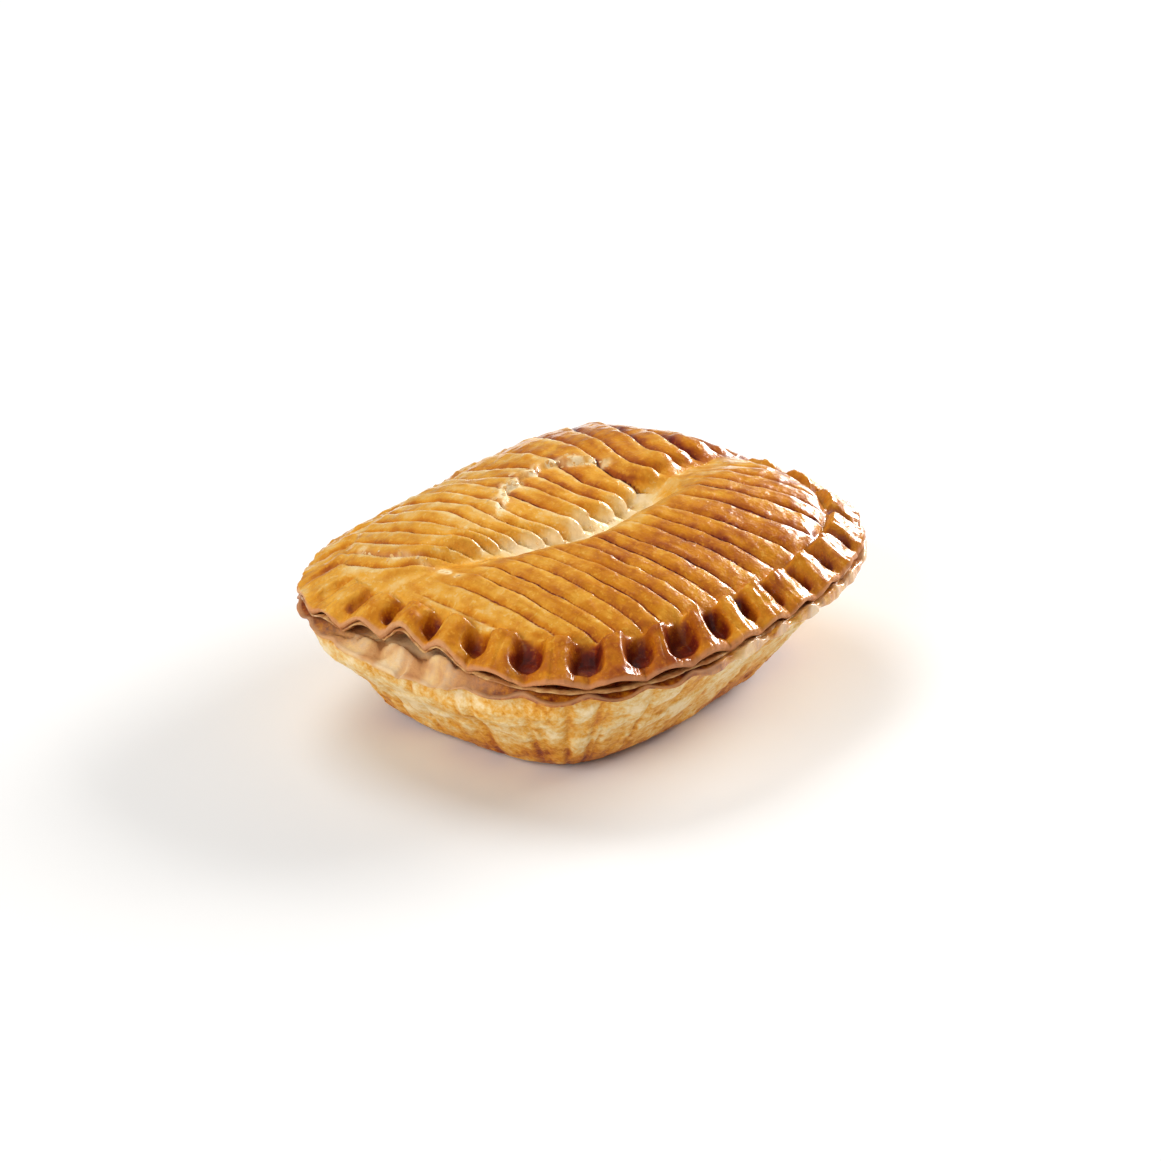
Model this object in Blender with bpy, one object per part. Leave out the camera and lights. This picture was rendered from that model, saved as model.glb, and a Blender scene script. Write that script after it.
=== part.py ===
"""A baked oval meat pie: a glossy slashed pastry lid crimped onto a tapered pastry case.

Metres, +Z up, +X along the pie, origin in the middle of the flat base.
"""

import math

import bmesh
import bpy
import numpy as np

# Outline of the lid, seen from above
HALF_LENGTH = 0.0640
HALF_WIDTH = 0.0525
SQUARENESS = 2.98
EGG_SHAPE = 0.0203
# The middle of the whole pie's box, which becomes the origin
MIDDLE_X = 0.00000
MIDDLE_Y = -0.00120

# Heights
LID_EDGE_HEIGHT = 0.0311
LID_EDGE_THICKNESS = 0.0026
DOME_HEIGHT = 0.0134
DOME_POWER = 2.8
RIGHT_DOME_POWER = 3.7
SEAM_HEIGHT = 0.0284
SEAM_GAP = 0.0004
SEAM_SHARE = 0.80
LID_EDGE_ARCH = 0.0019

# The sunken valley along the lid
VALLEY_DEPTH = 0.0080
VALLEY_OFFSET = -0.0032
VALLEY_SWAY = 0.0008
VALLEY_BEND = 0.42
VALLEY_BEND_START = -0.011
VALLEY_BEND_EASE = 0.004
VALLEY_FAR_RISE = 0.0220
VALLEY_NEAR_RISE = 0.0120
FINGER_DROP = 0.42
FINGER_ROUND = 0.0050
FINGER_ROUNDING = 0.80
FINGER_NEAREST = 0.0015
FINGER_UNEVEN = 0.0030

# A low tier of far strips in front of a torn fold
FOLD_DEPTH = 0.0014
FOLD_MIDDLE = 0.003
FOLD_REACH = 0.025
FOLD_BOW = 0.009
FOLD_HALF_WIDTH = 0.018
FOLD_JAG = 0.0009

# Slashes: where each one crosses a line beside the valley, and how they fan out
FAR_SLASHES = (-0.0515, -0.0460, -0.0420, -0.0375, -0.0320, -0.0275, -0.0225, -0.0175, -0.0130,
               -0.0060, -0.0003, 0.0055, 0.0112, 0.0190, 0.0250, 0.0330, 0.0405, 0.0480, 0.0560)
NEAR_SLASHES = (-0.0500, -0.0450, -0.0405, -0.0362, -0.0312, -0.0268, -0.0220, -0.0170, -0.0116,
                -0.0060, 0.0015, 0.0066, 0.0135, 0.0225, 0.0300, 0.0375, 0.0450, 0.0530, 0.0610)
FAR_REACH = 0.0112
NEAR_REACH = 0.0268
FAN_START = {"far": 0.004, "near": -0.029}
FAN_RATE = {"far": 14.5, "near": 8.5}
SLASH_HOOK = 0.0060
SLASH_HOOK_REACH = 0.0060
MOST_LEAN = 0.55
STRIP_LIFT = 0.0021
NEAR_STRIP_SHARE = 0.62
FLAT_STRIP_SHARE = 0.62
SLASH_DEPTH = 0.0004

# Crimped rim: pressed pits between rounded ridges
CRIMPS = 32
CRIMP_SWING = -0.25
CRIMP_SWING_PHASE = 4.843
CRIMP_PHASE = 1.669
CRIMP_INNER_SHARE = 0.850
RIGHT_CRIMP_INNER_SHARE = 0.890
CRIMP_RIDGE = 0.0029
RIDGE_TAPER = 0.55
BACK_RIDGE_SHARE = 0.16
CRIMP_CREASE = 0.0008
CRIMP_SCALLOP = 0.009
BACK_SCALLOP_SHARE = 0.22
PIT_WIDTH = 0.33
SLIT_WIDTH = 0.19
PIT_SLOPE = 1.4
PIT_FRONT_ANGLE = -1.80
PIT_FRONT_SPREAD = 0.75
PIT_OUTER_SHARE = 0.985
PIT_STRAY = 0.012
BACK_PIT_DEPTH = 0.28
PIT_FLOOR_RISE = 0.30
PIT_FLOOR_DROP = 0.0012
CRIMP_BLEND = 0.015
CREASE_WIDTH = 0.018

# The stretch of rim where the lid has pulled up and back from the case
LIFT = {"share": -0.010, "spread": 0.048}
LIFT_HEIGHT = 0.0030
LIFT_PULL_BACK = 0.055
LIFT_ARCH = 0.0024
# Below it the case's edge sags, and folded dough swells up behind the edge
SAG = {"share": 0.002, "spread": 0.042}
SAG_DEPTH = 0.0026
SWELL_HEIGHT = 0.0042
SWELL_LEAST = 0.10
SWELL_REACH = 0.957
SWELL_WIDTH = 0.021

# Case
FLANGE_OVERHANG = 0.003
FLANGE_THICKNESS = 0.0013
FLANGE_INNER_SHARE = 0.81
FLANGE_NOTCH = 0.006
FLANGE_DROOP = 0.0015
FLANGE_LOBE = 0.008
FLANGE_WAVES = 9
FLANGE_WAVE = 0.0005
WALL_TAPER = 0.0213
WALL_TOP_HEIGHT = 0.0311
BASE_RADIUS = 0.0050
WALL_SWELL = 0.35
# Two fuller stretches of the wall: low at the front left, and high below the lifted lid
LOW_BULGE = {"share": 0.06, "spread": 0.11, "depth": 0.0028}
HIGH_BULGE = {"share": -0.08, "spread": 0.05, "depth": 0.0027, "level": 0.20, "height": 0.25}
PLEATS = 27
PLEAT_SWING = 0.35
PLEAT_WIDTH = 0.07
PLEAT_DEPTH = 0.0007
WALL_CREASES = (0.033, 0.071, 0.098, 0.118)
WALL_CREASE_WIDTH = 0.0035
# A fold of dough that hangs over the wall below the lifted lid
LIP = {"share": 0.026, "spread": 0.030, "depth": 0.0013, "level": 0.34, "height": 0.075}

# Shares of each sheet's grid that go to its faces, from the middle of the lid and from the seam down
LID_TOP_BAND = 0.90
LID_ROLL_BAND = 0.06
FLANGE_BAND = 0.26
FLANGE_ROLL_BAND = 0.14

# Mesh density before and after thinning
LID_CELLS = (264, 224)
LID_TRIANGLES = 8200
CASE_CELLS = (384, 46)
CASE_TRIANGLES = 4600
OUTLINE_SAMPLES = 1441
WELD_DISTANCE = 1e-6


def clear_scene():
    """Removes everything that the file holds at the start."""
    for obj in list(bpy.data.objects):
        bpy.data.objects.remove(obj, do_unlink=True)


def smoothstep(low, high, value):
    t = np.clip((value - low) / (high - low), 0.0, 1.0)
    return t * t * (3.0 - 2.0 * t)


def bell(value, width):
    return np.exp(-((value / width) ** 2))


def scatter(number):
    """A repeatable value between 0 and 1 for each whole number."""
    return np.mod(np.sin(number * 12.9898 + 4.1) * 43758.5453, 1.0)


def outline_radius(angle):
    """Distance from the middle to the lid's outline: a squarish oval, slightly egg-shaped."""
    across = np.abs(np.cos(angle) / HALF_LENGTH) ** SQUARENESS
    along = np.abs(np.sin(angle) / HALF_WIDTH) ** SQUARENESS
    return (across + along) ** (-1.0 / SQUARENESS) * (1.0 + EGG_SHAPE * np.sin(3.0 * angle))


def outline_table():
    """Angles round the pie, and the share of the rim passed at each."""
    angles = np.linspace(-math.pi, math.pi, OUTLINE_SAMPLES)
    radii = outline_radius(angles)
    steps = np.hypot(np.diff(radii * np.cos(angles)), np.diff(radii * np.sin(angles)))
    passed = np.concatenate([[0.0], np.cumsum(steps)])
    return angles, passed / passed[-1]


ANGLES, RIM_SHARES = outline_table()


def rim_share(angle):
    return np.interp(angle, ANGLES, RIM_SHARES)


def crimp_place(angle):
    """Number of the nearest pit round the rim, and the offset from its middle in pitches."""
    share = rim_share(angle)
    swing = CRIMP_SWING * np.sin(6.0 * math.pi * share + CRIMP_SWING_PHASE)
    turn = CRIMPS * share + swing + CRIMP_PHASE
    number = np.floor(turn + 0.5)
    return np.mod(number, CRIMPS), turn - number


def pit_width(angle, number):
    """Half the width of a pit in pitches: pockets at the front, slits elsewhere."""
    turn = np.mod(angle - PIT_FRONT_ANGLE + math.pi, 2.0 * math.pi) - math.pi
    width = SLIT_WIDTH + (PIT_WIDTH - SLIT_WIDTH) * bell(turn, PIT_FRONT_SPREAD)
    return width * (0.85 + 0.3 * scatter(number))


def crimp_shape(angle):
    """How far a point of the rim lies abreast of a pit, and how far up the ridge beside it."""
    number, offset = crimp_place(angle)
    from_pit = np.abs(offset)
    abreast = 1.0 - smoothstep(0.5, 1.05, from_pit / pit_width(angle, number))
    return abreast, smoothstep(0.08, 0.52, from_pit) ** 0.75


def crimp_arch(angle):
    """0 at the pits and 1 on the ridges, as round arches."""
    return np.sin(math.pi * np.abs(crimp_place(angle)[1])) ** 1.25


def crimp_pocket(angle, rim_distance, border):
    """1 on the floor of a pressed pocket and 0 outside it."""
    number, offset = crimp_place(angle)
    middle = 0.5 * (border + PIT_OUTER_SHARE) + PIT_STRAY * (scatter(number + 50.0) - 0.5)
    half_length = 0.5 * (PIT_OUTER_SHARE - border) * (0.98 + 0.2 * scatter(number + 70.0))
    across = np.maximum(offset, -offset / PIT_SLOPE) / pit_width(angle, number)
    along = np.abs(rim_distance - middle) / half_length
    return 1.0 - smoothstep(0.45, 1.08, (across**3 + along**3) ** (1.0 / 3.0))


def back_side(angle):
    """1 along the far side of the rim, where the crimps are slighter."""
    ends = smoothstep(0.5, 1.0, np.cos(angle)) - smoothstep(0.5, 1.0, -np.cos(angle))
    return smoothstep(-0.35, 0.45, np.sin(angle) - 0.25 * np.cos(angle) + 0.45 * ends)


def ridge_height(angle, rim_distance, border):
    """How high the crest of a ridge stands: most beside the dome, less at the edge and the back."""
    height = CRIMP_RIDGE * (1.0 - (1.0 - BACK_RIDGE_SHARE) * back_side(angle))
    return height * (1.0 - RIDGE_TAPER * smoothstep(border, 1.0, rim_distance))


def rim_scallop(angle):
    """Share by which the lid's edge stands out on the ridges and in at the pits."""
    pit, ridge = crimp_shape(angle)
    size = CRIMP_SCALLOP * (1.0 - (1.0 - BACK_SCALLOP_SHARE) * back_side(angle))
    return size * (ridge - 0.4 - 0.6 * pit) - LIFT_PULL_BACK * rim_lift(angle)


def right_end(angle):
    """1 towards the right end of the pie, where the shoulder is fuller and the crimps shorter."""
    return smoothstep(-0.2, 0.9, np.cos(angle))


def rim_bell(angle, stretch):
    """1 in the middle of a stretch of the rim, fading to 0 on both sides."""
    away = np.mod(rim_share(angle) - stretch["share"] + 0.5, 1.0) - 0.5
    return bell(away, stretch["spread"])


def rim_lift(angle):
    """1 in the middle of the stretch where the lid has pulled away from the case."""
    return rim_bell(angle, LIFT)


def valley_line(x):
    """Y of the valley's floor: almost straight, then bending back towards the left end."""
    past = VALLEY_BEND_START - x
    bend = VALLEY_BEND * 0.5 * (past + np.hypot(past, VALLEY_BEND_EASE))
    return VALLEY_OFFSET + VALLEY_SWAY * np.cos((x + 0.038) / 0.012) + bend


def strip_place(x, across, side):
    """Number of the pastry strip at a point, and the share of its width passed there."""
    reach = np.abs(across)
    slashes = FAR_SLASHES if side == "far" else NEAR_SLASHES
    beside = reach - (FAR_REACH if side == "far" else NEAR_REACH)
    lean = np.clip((x - FAN_START[side]) * FAN_RATE[side], 0.0, MOST_LEAN)
    hook = SLASH_HOOK * bell(reach, SLASH_HOOK_REACH) if side == "far" else 0.0
    crossing = x - lean * beside - hook
    place = np.interp(crossing, slashes, range(len(slashes)))
    strip = np.minimum(np.floor(place), len(slashes) - 2)
    ends = smoothstep(0.0, 0.6, place) * (1.0 - smoothstep(len(slashes) - 1.6, len(slashes) - 1.0, place))
    return strip, place - strip, ends


def strip_height(share, rounding):
    """Cross-section of a strip: a crest that drops into the next slash, or an evenly round finger."""
    louvre = share**0.7 * (1.0 - share**7)
    finger = np.sqrt(np.abs(np.sin(math.pi * share**1.4)))
    return louvre + (finger - louvre) * rounding


def dome_height(rim_distance, angle):
    power = DOME_POWER + (RIGHT_DOME_POWER - DOME_POWER) * right_end(angle)
    return DOME_HEIGHT * (1.0 - np.clip(rim_distance, 0.0, 1.0) ** power)


def valley_shape(x, across, strip, share):
    """1 on the valley's floor; the far strips end above it as rounded fingers."""
    along = smoothstep(-0.050, -0.004, x) ** 0.8 * (1.0 - 0.62 * smoothstep(0.017, 0.027, x))
    along = along * (1.0 - smoothstep(0.036, 0.056, x))
    uneven = scatter(strip + 7.0) + (2.0 * share - 1.0) ** 2
    past_end = np.clip((across - FINGER_NEAREST - FINGER_UNEVEN * uneven) / FINGER_ROUND, 0.0, 1.0)
    slope = 1.0 - smoothstep(-0.1, 1.0, across / VALLEY_FAR_RISE)
    drop = 1.0 - np.sqrt(1.0 - (1.0 - past_end) ** 2)
    far = (1.0 - FINGER_DROP) * slope + FINGER_DROP * drop
    climb = np.clip(-across / VALLEY_NEAR_RISE, 0.0, 1.0)
    near = 0.5 * (1.0 - smoothstep(0.0, 1.0, climb)) + 0.5 * (1.0 - climb) ** 2
    return along * np.where(across > 0.0, far, near)


def fold_line(x, across):
    """Distance inside the torn fold, and how strong the fold is there."""
    offset = (x - FOLD_MIDDLE) / FOLD_HALF_WIDTH
    line = FOLD_REACH - FOLD_BOW * offset**2 + FOLD_JAG * np.sin(x / 0.0016 + 2.0 * np.sin(x / 0.0050))
    return line - across, 1.0 - smoothstep(0.8, 1.25, np.abs(offset))


def fold_shape(x, across):
    """1 just inside the torn fold, fading towards the valley."""
    inward, strength = fold_line(x, across)
    return strength * smoothstep(0.0, 0.0012, inward) * smoothstep(-0.001, 0.014, across)


def lid_relief(x, y, rim_distance, border):
    """Height of the strips and of the valley between them, over the plain dome."""
    across = y - valley_line(x)
    far_strip, far_share, far_ends = strip_place(x, across, "far")
    near_strip, near_share, near_ends = strip_place(x, across, "near")
    far = across > 0.0
    strip = np.where(far, far_strip, near_strip + 40.0)
    share = np.clip(np.where(far, far_share, near_share), 0.0, 1.0)
    reach = np.abs(across)
    on_dome = (1.0 - smoothstep(border - 0.05, border, rim_distance)) * np.where(far, far_ends, near_ends)
    by_finger = smoothstep(0.0, 0.005, reach)
    calm = 1.0 - 0.15 * (1.0 - smoothstep(-0.025, 0.020, x))
    strips = np.where(far, by_finger, smoothstep(0.001, 0.013, reach) * calm) * on_dome
    rounding = FINGER_ROUNDING * far * (1.0 - smoothstep(0.007, 0.018, reach))
    flat_share = 1.0 + (FLAT_STRIP_SHARE - 1.0) * smoothstep(0.008, 0.020, reach)
    size = STRIP_LIFT * (0.55 + 0.65 * scatter(strip)) * strips
    size = size * np.where(far, flat_share, NEAR_STRIP_SHARE)
    height = 0.85 * size * strip_height(share, rounding)
    height = height - SLASH_DEPTH * strips * bell(np.minimum(share, 1.0 - share), 0.045)
    height = height - VALLEY_DEPTH * valley_shape(x, across, strip, share)
    return height - FOLD_DEPTH * fold_shape(x, across)


def lid_top(x, y, angle, rim_distance):
    """Height of the lid's upper face."""
    ridge = crimp_shape(angle)[1]
    dome = dome_height(rim_distance, angle)
    border = CRIMP_INNER_SHARE + (RIGHT_CRIMP_INNER_SHARE - CRIMP_INNER_SHARE) * right_end(angle)
    band = smoothstep(border - CRIMP_BLEND, border + CRIMP_BLEND, rim_distance)
    height = LID_EDGE_HEIGHT + dome + lid_relief(x, y, rim_distance, border)
    crease = bell(rim_distance - border + 0.5 * CRIMP_BLEND, CREASE_WIDTH)
    height = height + ridge_height(angle, rim_distance, border) * ridge * band
    height = height - CRIMP_CREASE * crease * (1.0 - 0.8 * back_side(angle))
    floor = LID_EDGE_HEIGHT - PIT_FLOOR_DROP + PIT_FLOOR_RISE * dome
    depth = 1.0 - (1.0 - BACK_PIT_DEPTH) * back_side(angle)
    height = height + (floor - height) * crimp_pocket(angle, rim_distance, border) * depth
    edge = smoothstep(0.82, 1.0, rim_distance)
    raised = LIFT_HEIGHT + LIFT_ARCH * (crimp_arch(angle) - 0.6)
    return height + rim_lift(angle) * raised * edge


def lid_underside(angle):
    """Height of the lower face of the lid at its edge."""
    arch = crimp_arch(angle)
    raised = LIFT_HEIGHT + LIFT_ARCH * (arch - 0.6)
    return SEAM_HEIGHT + SEAM_GAP + LID_EDGE_ARCH * arch + rim_lift(angle) * raised


def lid_surface(u, v):
    """Points of the whole lid sheet for a square grid: top, rolled edge, and underside of the rim."""
    ring = np.maximum(np.abs(u), np.abs(v))
    angle = np.arctan2(HALF_WIDTH * v, HALF_LENGTH * u)
    rolled = LID_TOP_BAND + LID_ROLL_BAND
    top = np.clip(ring / LID_TOP_BAND, 0.0, 1.0)
    roll = np.clip((ring - LID_TOP_BAND) / LID_ROLL_BAND, 0.0, 1.0)
    under = np.clip((ring - rolled) / (1.0 - rolled), 0.0, 1.0)
    scallop = rim_scallop(angle)
    reach = top * (1.0 + scallop * smoothstep(0.80, 1.0, top))
    radius = outline_radius(angle) - 0.5 * LID_EDGE_THICKNESS
    x = radius * np.cos(angle) * reach
    y = radius * np.sin(angle) * reach
    height = lid_top(x, y, angle, top)
    bottom = lid_underside(angle)
    edge_top = lid_top(x, y, angle, np.ones_like(top))
    half = 0.5 * (edge_top - bottom)
    swell = half * np.sin(math.pi * roll)
    drop = half * (1.0 - np.cos(math.pi * roll))
    inward = under * (1.0 + scallop - SEAM_SHARE)
    grow = (reach - inward) / np.maximum(reach, 1e-9)
    x = x * grow + swell * np.cos(angle)
    y = y * grow + swell * np.sin(angle)
    z = np.where(roll > 0.0, edge_top - drop, height)
    z = z + (SEAM_HEIGHT + SEAM_GAP - bottom) * smoothstep(0.0, 1.0, under) * (under > 0.0)
    return np.stack([x - MIDDLE_X, y - MIDDLE_Y, z], axis=-1)


def outline_normal(angle):
    """Direction straight out from the outline at each angle."""
    step = 1e-3
    before = outline_radius(angle - step)
    after = outline_radius(angle + step)
    run_x = after * np.cos(angle + step) - before * np.cos(angle - step)
    run_y = after * np.sin(angle + step) - before * np.sin(angle - step)
    length = np.hypot(run_x, run_y)
    return run_y / length, -run_x / length


def wall_inset(z):
    """How far the case's wall stands in from the outline at a height."""
    rounding = np.clip(1.0 - z / BASE_RADIUS, 0.0, 1.0)
    return WALL_TAPER * (1.0 - z / WALL_TOP_HEIGHT) + BASE_RADIUS * (1.0 - np.sqrt(1.0 - rounding**2))


def pleat(angle):
    """Narrow upright creases at uneven places round the wall."""
    share = rim_share(angle)
    turn = PLEATS * share + PLEAT_SWING * np.sin(10.0 * math.pi * share + 1.0)
    strength = 0.35 + 0.65 * scatter(np.floor(turn + 0.5))
    from_crease = np.abs(np.mod(turn + 0.5, 1.0) - 0.5)
    creases = strength * bell(from_crease, PLEAT_WIDTH)
    for place in WALL_CREASES:
        creases = np.maximum(creases, 1.3 * bell(share - place, WALL_CREASE_WIDTH))
    return creases


def wall_bulge(angle, wall):
    """How far the wall stands out past its plain slope."""
    low = LOW_BULGE["depth"] * rim_bell(angle, LOW_BULGE) * smoothstep(0.0, 0.25, wall)
    level = bell(wall - HIGH_BULGE["level"], HIGH_BULGE["height"])
    high = HIGH_BULGE["depth"] * rim_bell(angle, HIGH_BULGE) * level * smoothstep(0.0, 0.08, wall)
    lip_side = np.where(wall > LIP["level"], LIP["height"], 2.0 * LIP["height"])
    return low + high + LIP["depth"] * rim_bell(angle, LIP) * bell(wall - LIP["level"], lip_side)


def flange_top(angle, reach):
    """Height of the case's upper face near its edge."""
    sag = rim_bell(angle, SAG)
    arch = crimp_arch(angle)
    swollen = SWELL_HEIGHT * sag * (SWELL_LEAST + (1.0 - SWELL_LEAST) * arch**1.3)
    droop = FLANGE_DROOP * arch * (1.0 - rim_lift(angle)) + SAG_DEPTH * sag
    swollen = swollen * bell(reach - SWELL_REACH, SWELL_WIDTH)
    return SEAM_HEIGHT + swollen - droop * smoothstep(0.94, 1.0, reach)


def case_surface(turn, rise):
    """Points of the case: rise 0 is the seam under the lid and 1 the rim of the flat base."""
    angle = math.pi * (2.0 * turn - 1.0)
    out_x, out_y = outline_normal(angle)
    pit = crimp_shape(angle)[0]
    rolled = FLANGE_BAND + FLANGE_ROLL_BAND
    flange = np.clip(rise / FLANGE_BAND, 0.0, 1.0)
    roll = np.clip((rise - FLANGE_BAND) / FLANGE_ROLL_BAND, 0.0, 1.0)
    wall = np.clip((rise - rolled) / (1.0 - rolled), 0.0, 1.0)
    front = (1.0 - back_side(angle)) * (1.0 - rim_lift(angle))
    lobe = FLANGE_LOBE * crimp_arch(angle) * front - FLANGE_NOTCH * pit
    rim = 1.0 + FLANGE_OVERHANG + lobe * (1.0 - smoothstep(0.2, 0.8, np.cos(angle)))
    reach = FLANGE_INNER_SHARE + (rim - FLANGE_INNER_SHARE) * flange
    top = flange_top(angle, reach)
    wave = FLANGE_WAVE * np.sin(2.0 * math.pi * FLANGE_WAVES * rim_share(angle))
    half = 0.5 * FLANGE_THICKNESS
    droop = FLANGE_DROOP * crimp_arch(angle) * (1.0 - rim_lift(angle))
    wall_top = SEAM_HEIGHT - FLANGE_THICKNESS + wave - SAG_DEPTH * rim_bell(angle, SAG) - 0.6 * droop
    drop = 0.5 * (top - wall_top) * (1.0 - np.cos(math.pi * roll))
    wall_height = wall_top * (1.0 - wall)
    inset = wall_inset(wall_height) + PLEAT_DEPTH * pleat(angle) * np.sin(math.pi * wall) ** 0.5
    inset = inset - (1.0 - wall) ** 2 * wall_inset(wall_top) * WALL_SWELL - wall_bulge(angle, wall)
    radius = outline_radius(angle) - half
    x = radius * np.cos(angle) * reach + out_x * half * np.sin(math.pi * roll)
    y = radius * np.sin(angle) * reach + out_y * half * np.sin(math.pi * roll)
    below = smoothstep(0.55, 1.0, roll)
    outline = outline_radius(angle)
    x = x + (outline * np.cos(angle) - out_x * inset - x) * np.where(wall > 0.0, 1.0, below)
    y = y + (outline * np.sin(angle) - out_y * inset - y) * np.where(wall > 0.0, 1.0, below)
    z = np.where(wall > 0.0, wall_height, top - drop)
    return np.stack([x - MIDDLE_X, y - MIDDLE_Y, z], axis=-1)


def grid_mesh(name, cells):
    """A flat square grid from -1 to 1, with its corner points as an array."""
    bm = bmesh.new()
    bmesh.ops.create_grid(bm, x_segments=cells[0], y_segments=cells[1], size=1.0)
    mesh = bpy.data.meshes.new(name)
    bm.to_mesh(mesh)
    bm.free()
    points = np.empty(len(mesh.vertices) * 3)
    mesh.vertices.foreach_get("co", points)
    return mesh, points.reshape(-1, 3)


def close_mesh(mesh):
    """Joins the points that meet, fills each flat hole and turns the faces out."""
    bm = bmesh.new()
    bm.from_mesh(mesh)
    bmesh.ops.remove_doubles(bm, verts=bm.verts, dist=WELD_DISTANCE)
    bmesh.ops.holes_fill(bm, edges=bm.edges, sides=0)
    bmesh.ops.recalc_face_normals(bm, faces=bm.faces)
    bm.to_mesh(mesh)
    bm.free()


def thin_out(obj, triangles):
    """Reduces the mesh to about this many triangles, keeping its creases."""
    faces = sum(len(face.vertices) - 2 for face in obj.data.polygons)
    modifier = obj.modifiers.new("thin_out", "DECIMATE")
    modifier.ratio = triangles / faces


def pastry_material(name, color, roughness):
    material = bpy.data.materials.new(name)
    material.use_nodes = True
    shader = material.node_tree.nodes["Principled BSDF"]
    shader.inputs["Base Color"].default_value = color
    shader.inputs["Roughness"].default_value = roughness
    shader.inputs["Metallic"].default_value = 0.0
    return material


def make_lid(collection):
    """The glazed lid, down to the level of the seam."""
    mesh, grid = grid_mesh("pastry_lid", LID_CELLS)
    mesh.vertices.foreach_set("co", lid_surface(grid[:, 0], grid[:, 1]).ravel())
    close_mesh(mesh)
    lid = bpy.data.objects.new("pastry_lid", mesh)
    collection.objects.link(lid)
    thin_out(lid, LID_TRIANGLES)
    lid.data.materials.append(pastry_material("glazed_pastry", (0.58, 0.27, 0.06, 1.0), 0.32))
    return lid


def make_case(collection):
    """The tapered case with what fills it, from the seam down to the flat base."""
    mesh, grid = grid_mesh("pie_case", CASE_CELLS)
    turn = 0.5 * (grid[:, 0] + 1.0)
    rise = 0.5 * (grid[:, 1] + 1.0)
    mesh.vertices.foreach_set("co", case_surface(turn, rise).ravel())
    close_mesh(mesh)
    case = bpy.data.objects.new("pie_case", mesh)
    collection.objects.link(case)
    thin_out(case, CASE_TRIANGLES)
    case.data.materials.append(pastry_material("baked_pastry", (0.66, 0.42, 0.18, 1.0), 0.55))
    return case


def main():
    clear_scene()
    collection = bpy.data.collections.new("meat_pie")
    bpy.context.scene.collection.children.link(collection)
    make_case(collection)
    make_lid(collection)


main()
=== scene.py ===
"""A baked oval meat pie: a slashed, glazed pastry lid with a crimped rim, on a flaky case."""

from math import pi

import bmesh
import bpy
import numpy as np
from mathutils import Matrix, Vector


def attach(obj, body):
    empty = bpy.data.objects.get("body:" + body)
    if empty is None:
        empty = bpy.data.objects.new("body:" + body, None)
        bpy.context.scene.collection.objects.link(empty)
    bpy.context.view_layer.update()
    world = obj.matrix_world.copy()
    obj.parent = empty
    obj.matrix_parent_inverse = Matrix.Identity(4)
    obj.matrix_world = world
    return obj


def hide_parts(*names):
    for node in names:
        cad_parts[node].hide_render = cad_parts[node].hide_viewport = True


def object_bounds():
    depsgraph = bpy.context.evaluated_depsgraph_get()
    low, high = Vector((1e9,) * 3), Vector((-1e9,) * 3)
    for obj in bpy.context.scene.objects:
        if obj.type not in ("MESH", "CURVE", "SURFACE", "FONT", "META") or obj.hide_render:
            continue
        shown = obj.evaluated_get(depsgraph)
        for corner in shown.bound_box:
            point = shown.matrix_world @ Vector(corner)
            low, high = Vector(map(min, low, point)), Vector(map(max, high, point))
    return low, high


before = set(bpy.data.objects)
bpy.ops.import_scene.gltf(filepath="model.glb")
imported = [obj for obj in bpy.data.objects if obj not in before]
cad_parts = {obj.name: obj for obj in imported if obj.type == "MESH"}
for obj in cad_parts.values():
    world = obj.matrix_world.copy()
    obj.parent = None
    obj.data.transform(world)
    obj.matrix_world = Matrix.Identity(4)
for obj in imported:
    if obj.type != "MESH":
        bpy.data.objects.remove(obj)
CAD_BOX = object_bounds()

# Outline of the lid, seen from above
HALF_LENGTH = 0.064
HALF_WIDTH = 0.0525
SQUARENESS = 2.98
EGG_SHAPE = 0.0203
MIDDLE_Y = -0.0012

# Heights
LID_EDGE_HEIGHT = 0.0311
LID_EDGE_THICKNESS = 0.0026
DOME_HEIGHT = 0.0134
DOME_POWER = 2.8
RIGHT_DOME_POWER = 3.7
SEAM_HEIGHT = 0.0284
SEAM_GAP = 0.0004
SEAM_SHARE = 0.8
LID_EDGE_ARCH = 0.0019

# The sunken valley along the lid
VALLEY_DEPTH = 0.008
VALLEY_OFFSET = -0.0032
VALLEY_SWAY = 0.0008
VALLEY_BEND = 0.42
VALLEY_BEND_START = -0.011
VALLEY_BEND_EASE = 0.004
VALLEY_FAR_RISE = 0.022
VALLEY_NEAR_RISE = 0.012
VALLEY_START = (-0.05, -0.004)
VALLEY_START_POWER = 0.8
VALLEY_SHALLOW = (0.017, 0.027)
VALLEY_SHALLOW_SHARE = 0.62
VALLEY_END = (0.036, 0.056)
FINGER_DROP = 0.42
FINGER_ROUND = 0.005
FINGER_ROUNDING = 0.8
FINGER_NEAREST = 0.0015
FINGER_UNEVEN = 0.003
FINGER_FADE = (0.007, 0.018)

# A low tier of far strips in front of a torn fold
FOLD_DEPTH = 0.0014
FOLD_MIDDLE = 0.003
FOLD_REACH = 0.025
FOLD_BOW = 0.009
FOLD_HALF_WIDTH = 0.018
FOLD_JAG = 0.0009
FOLD_RIPPLES = (0.0016, 0.005)
FOLD_FADE = (0.8, 1.25)
FOLD_STEP = 0.0012
FOLD_RUN_OUT = (-0.001, 0.014)

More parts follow.
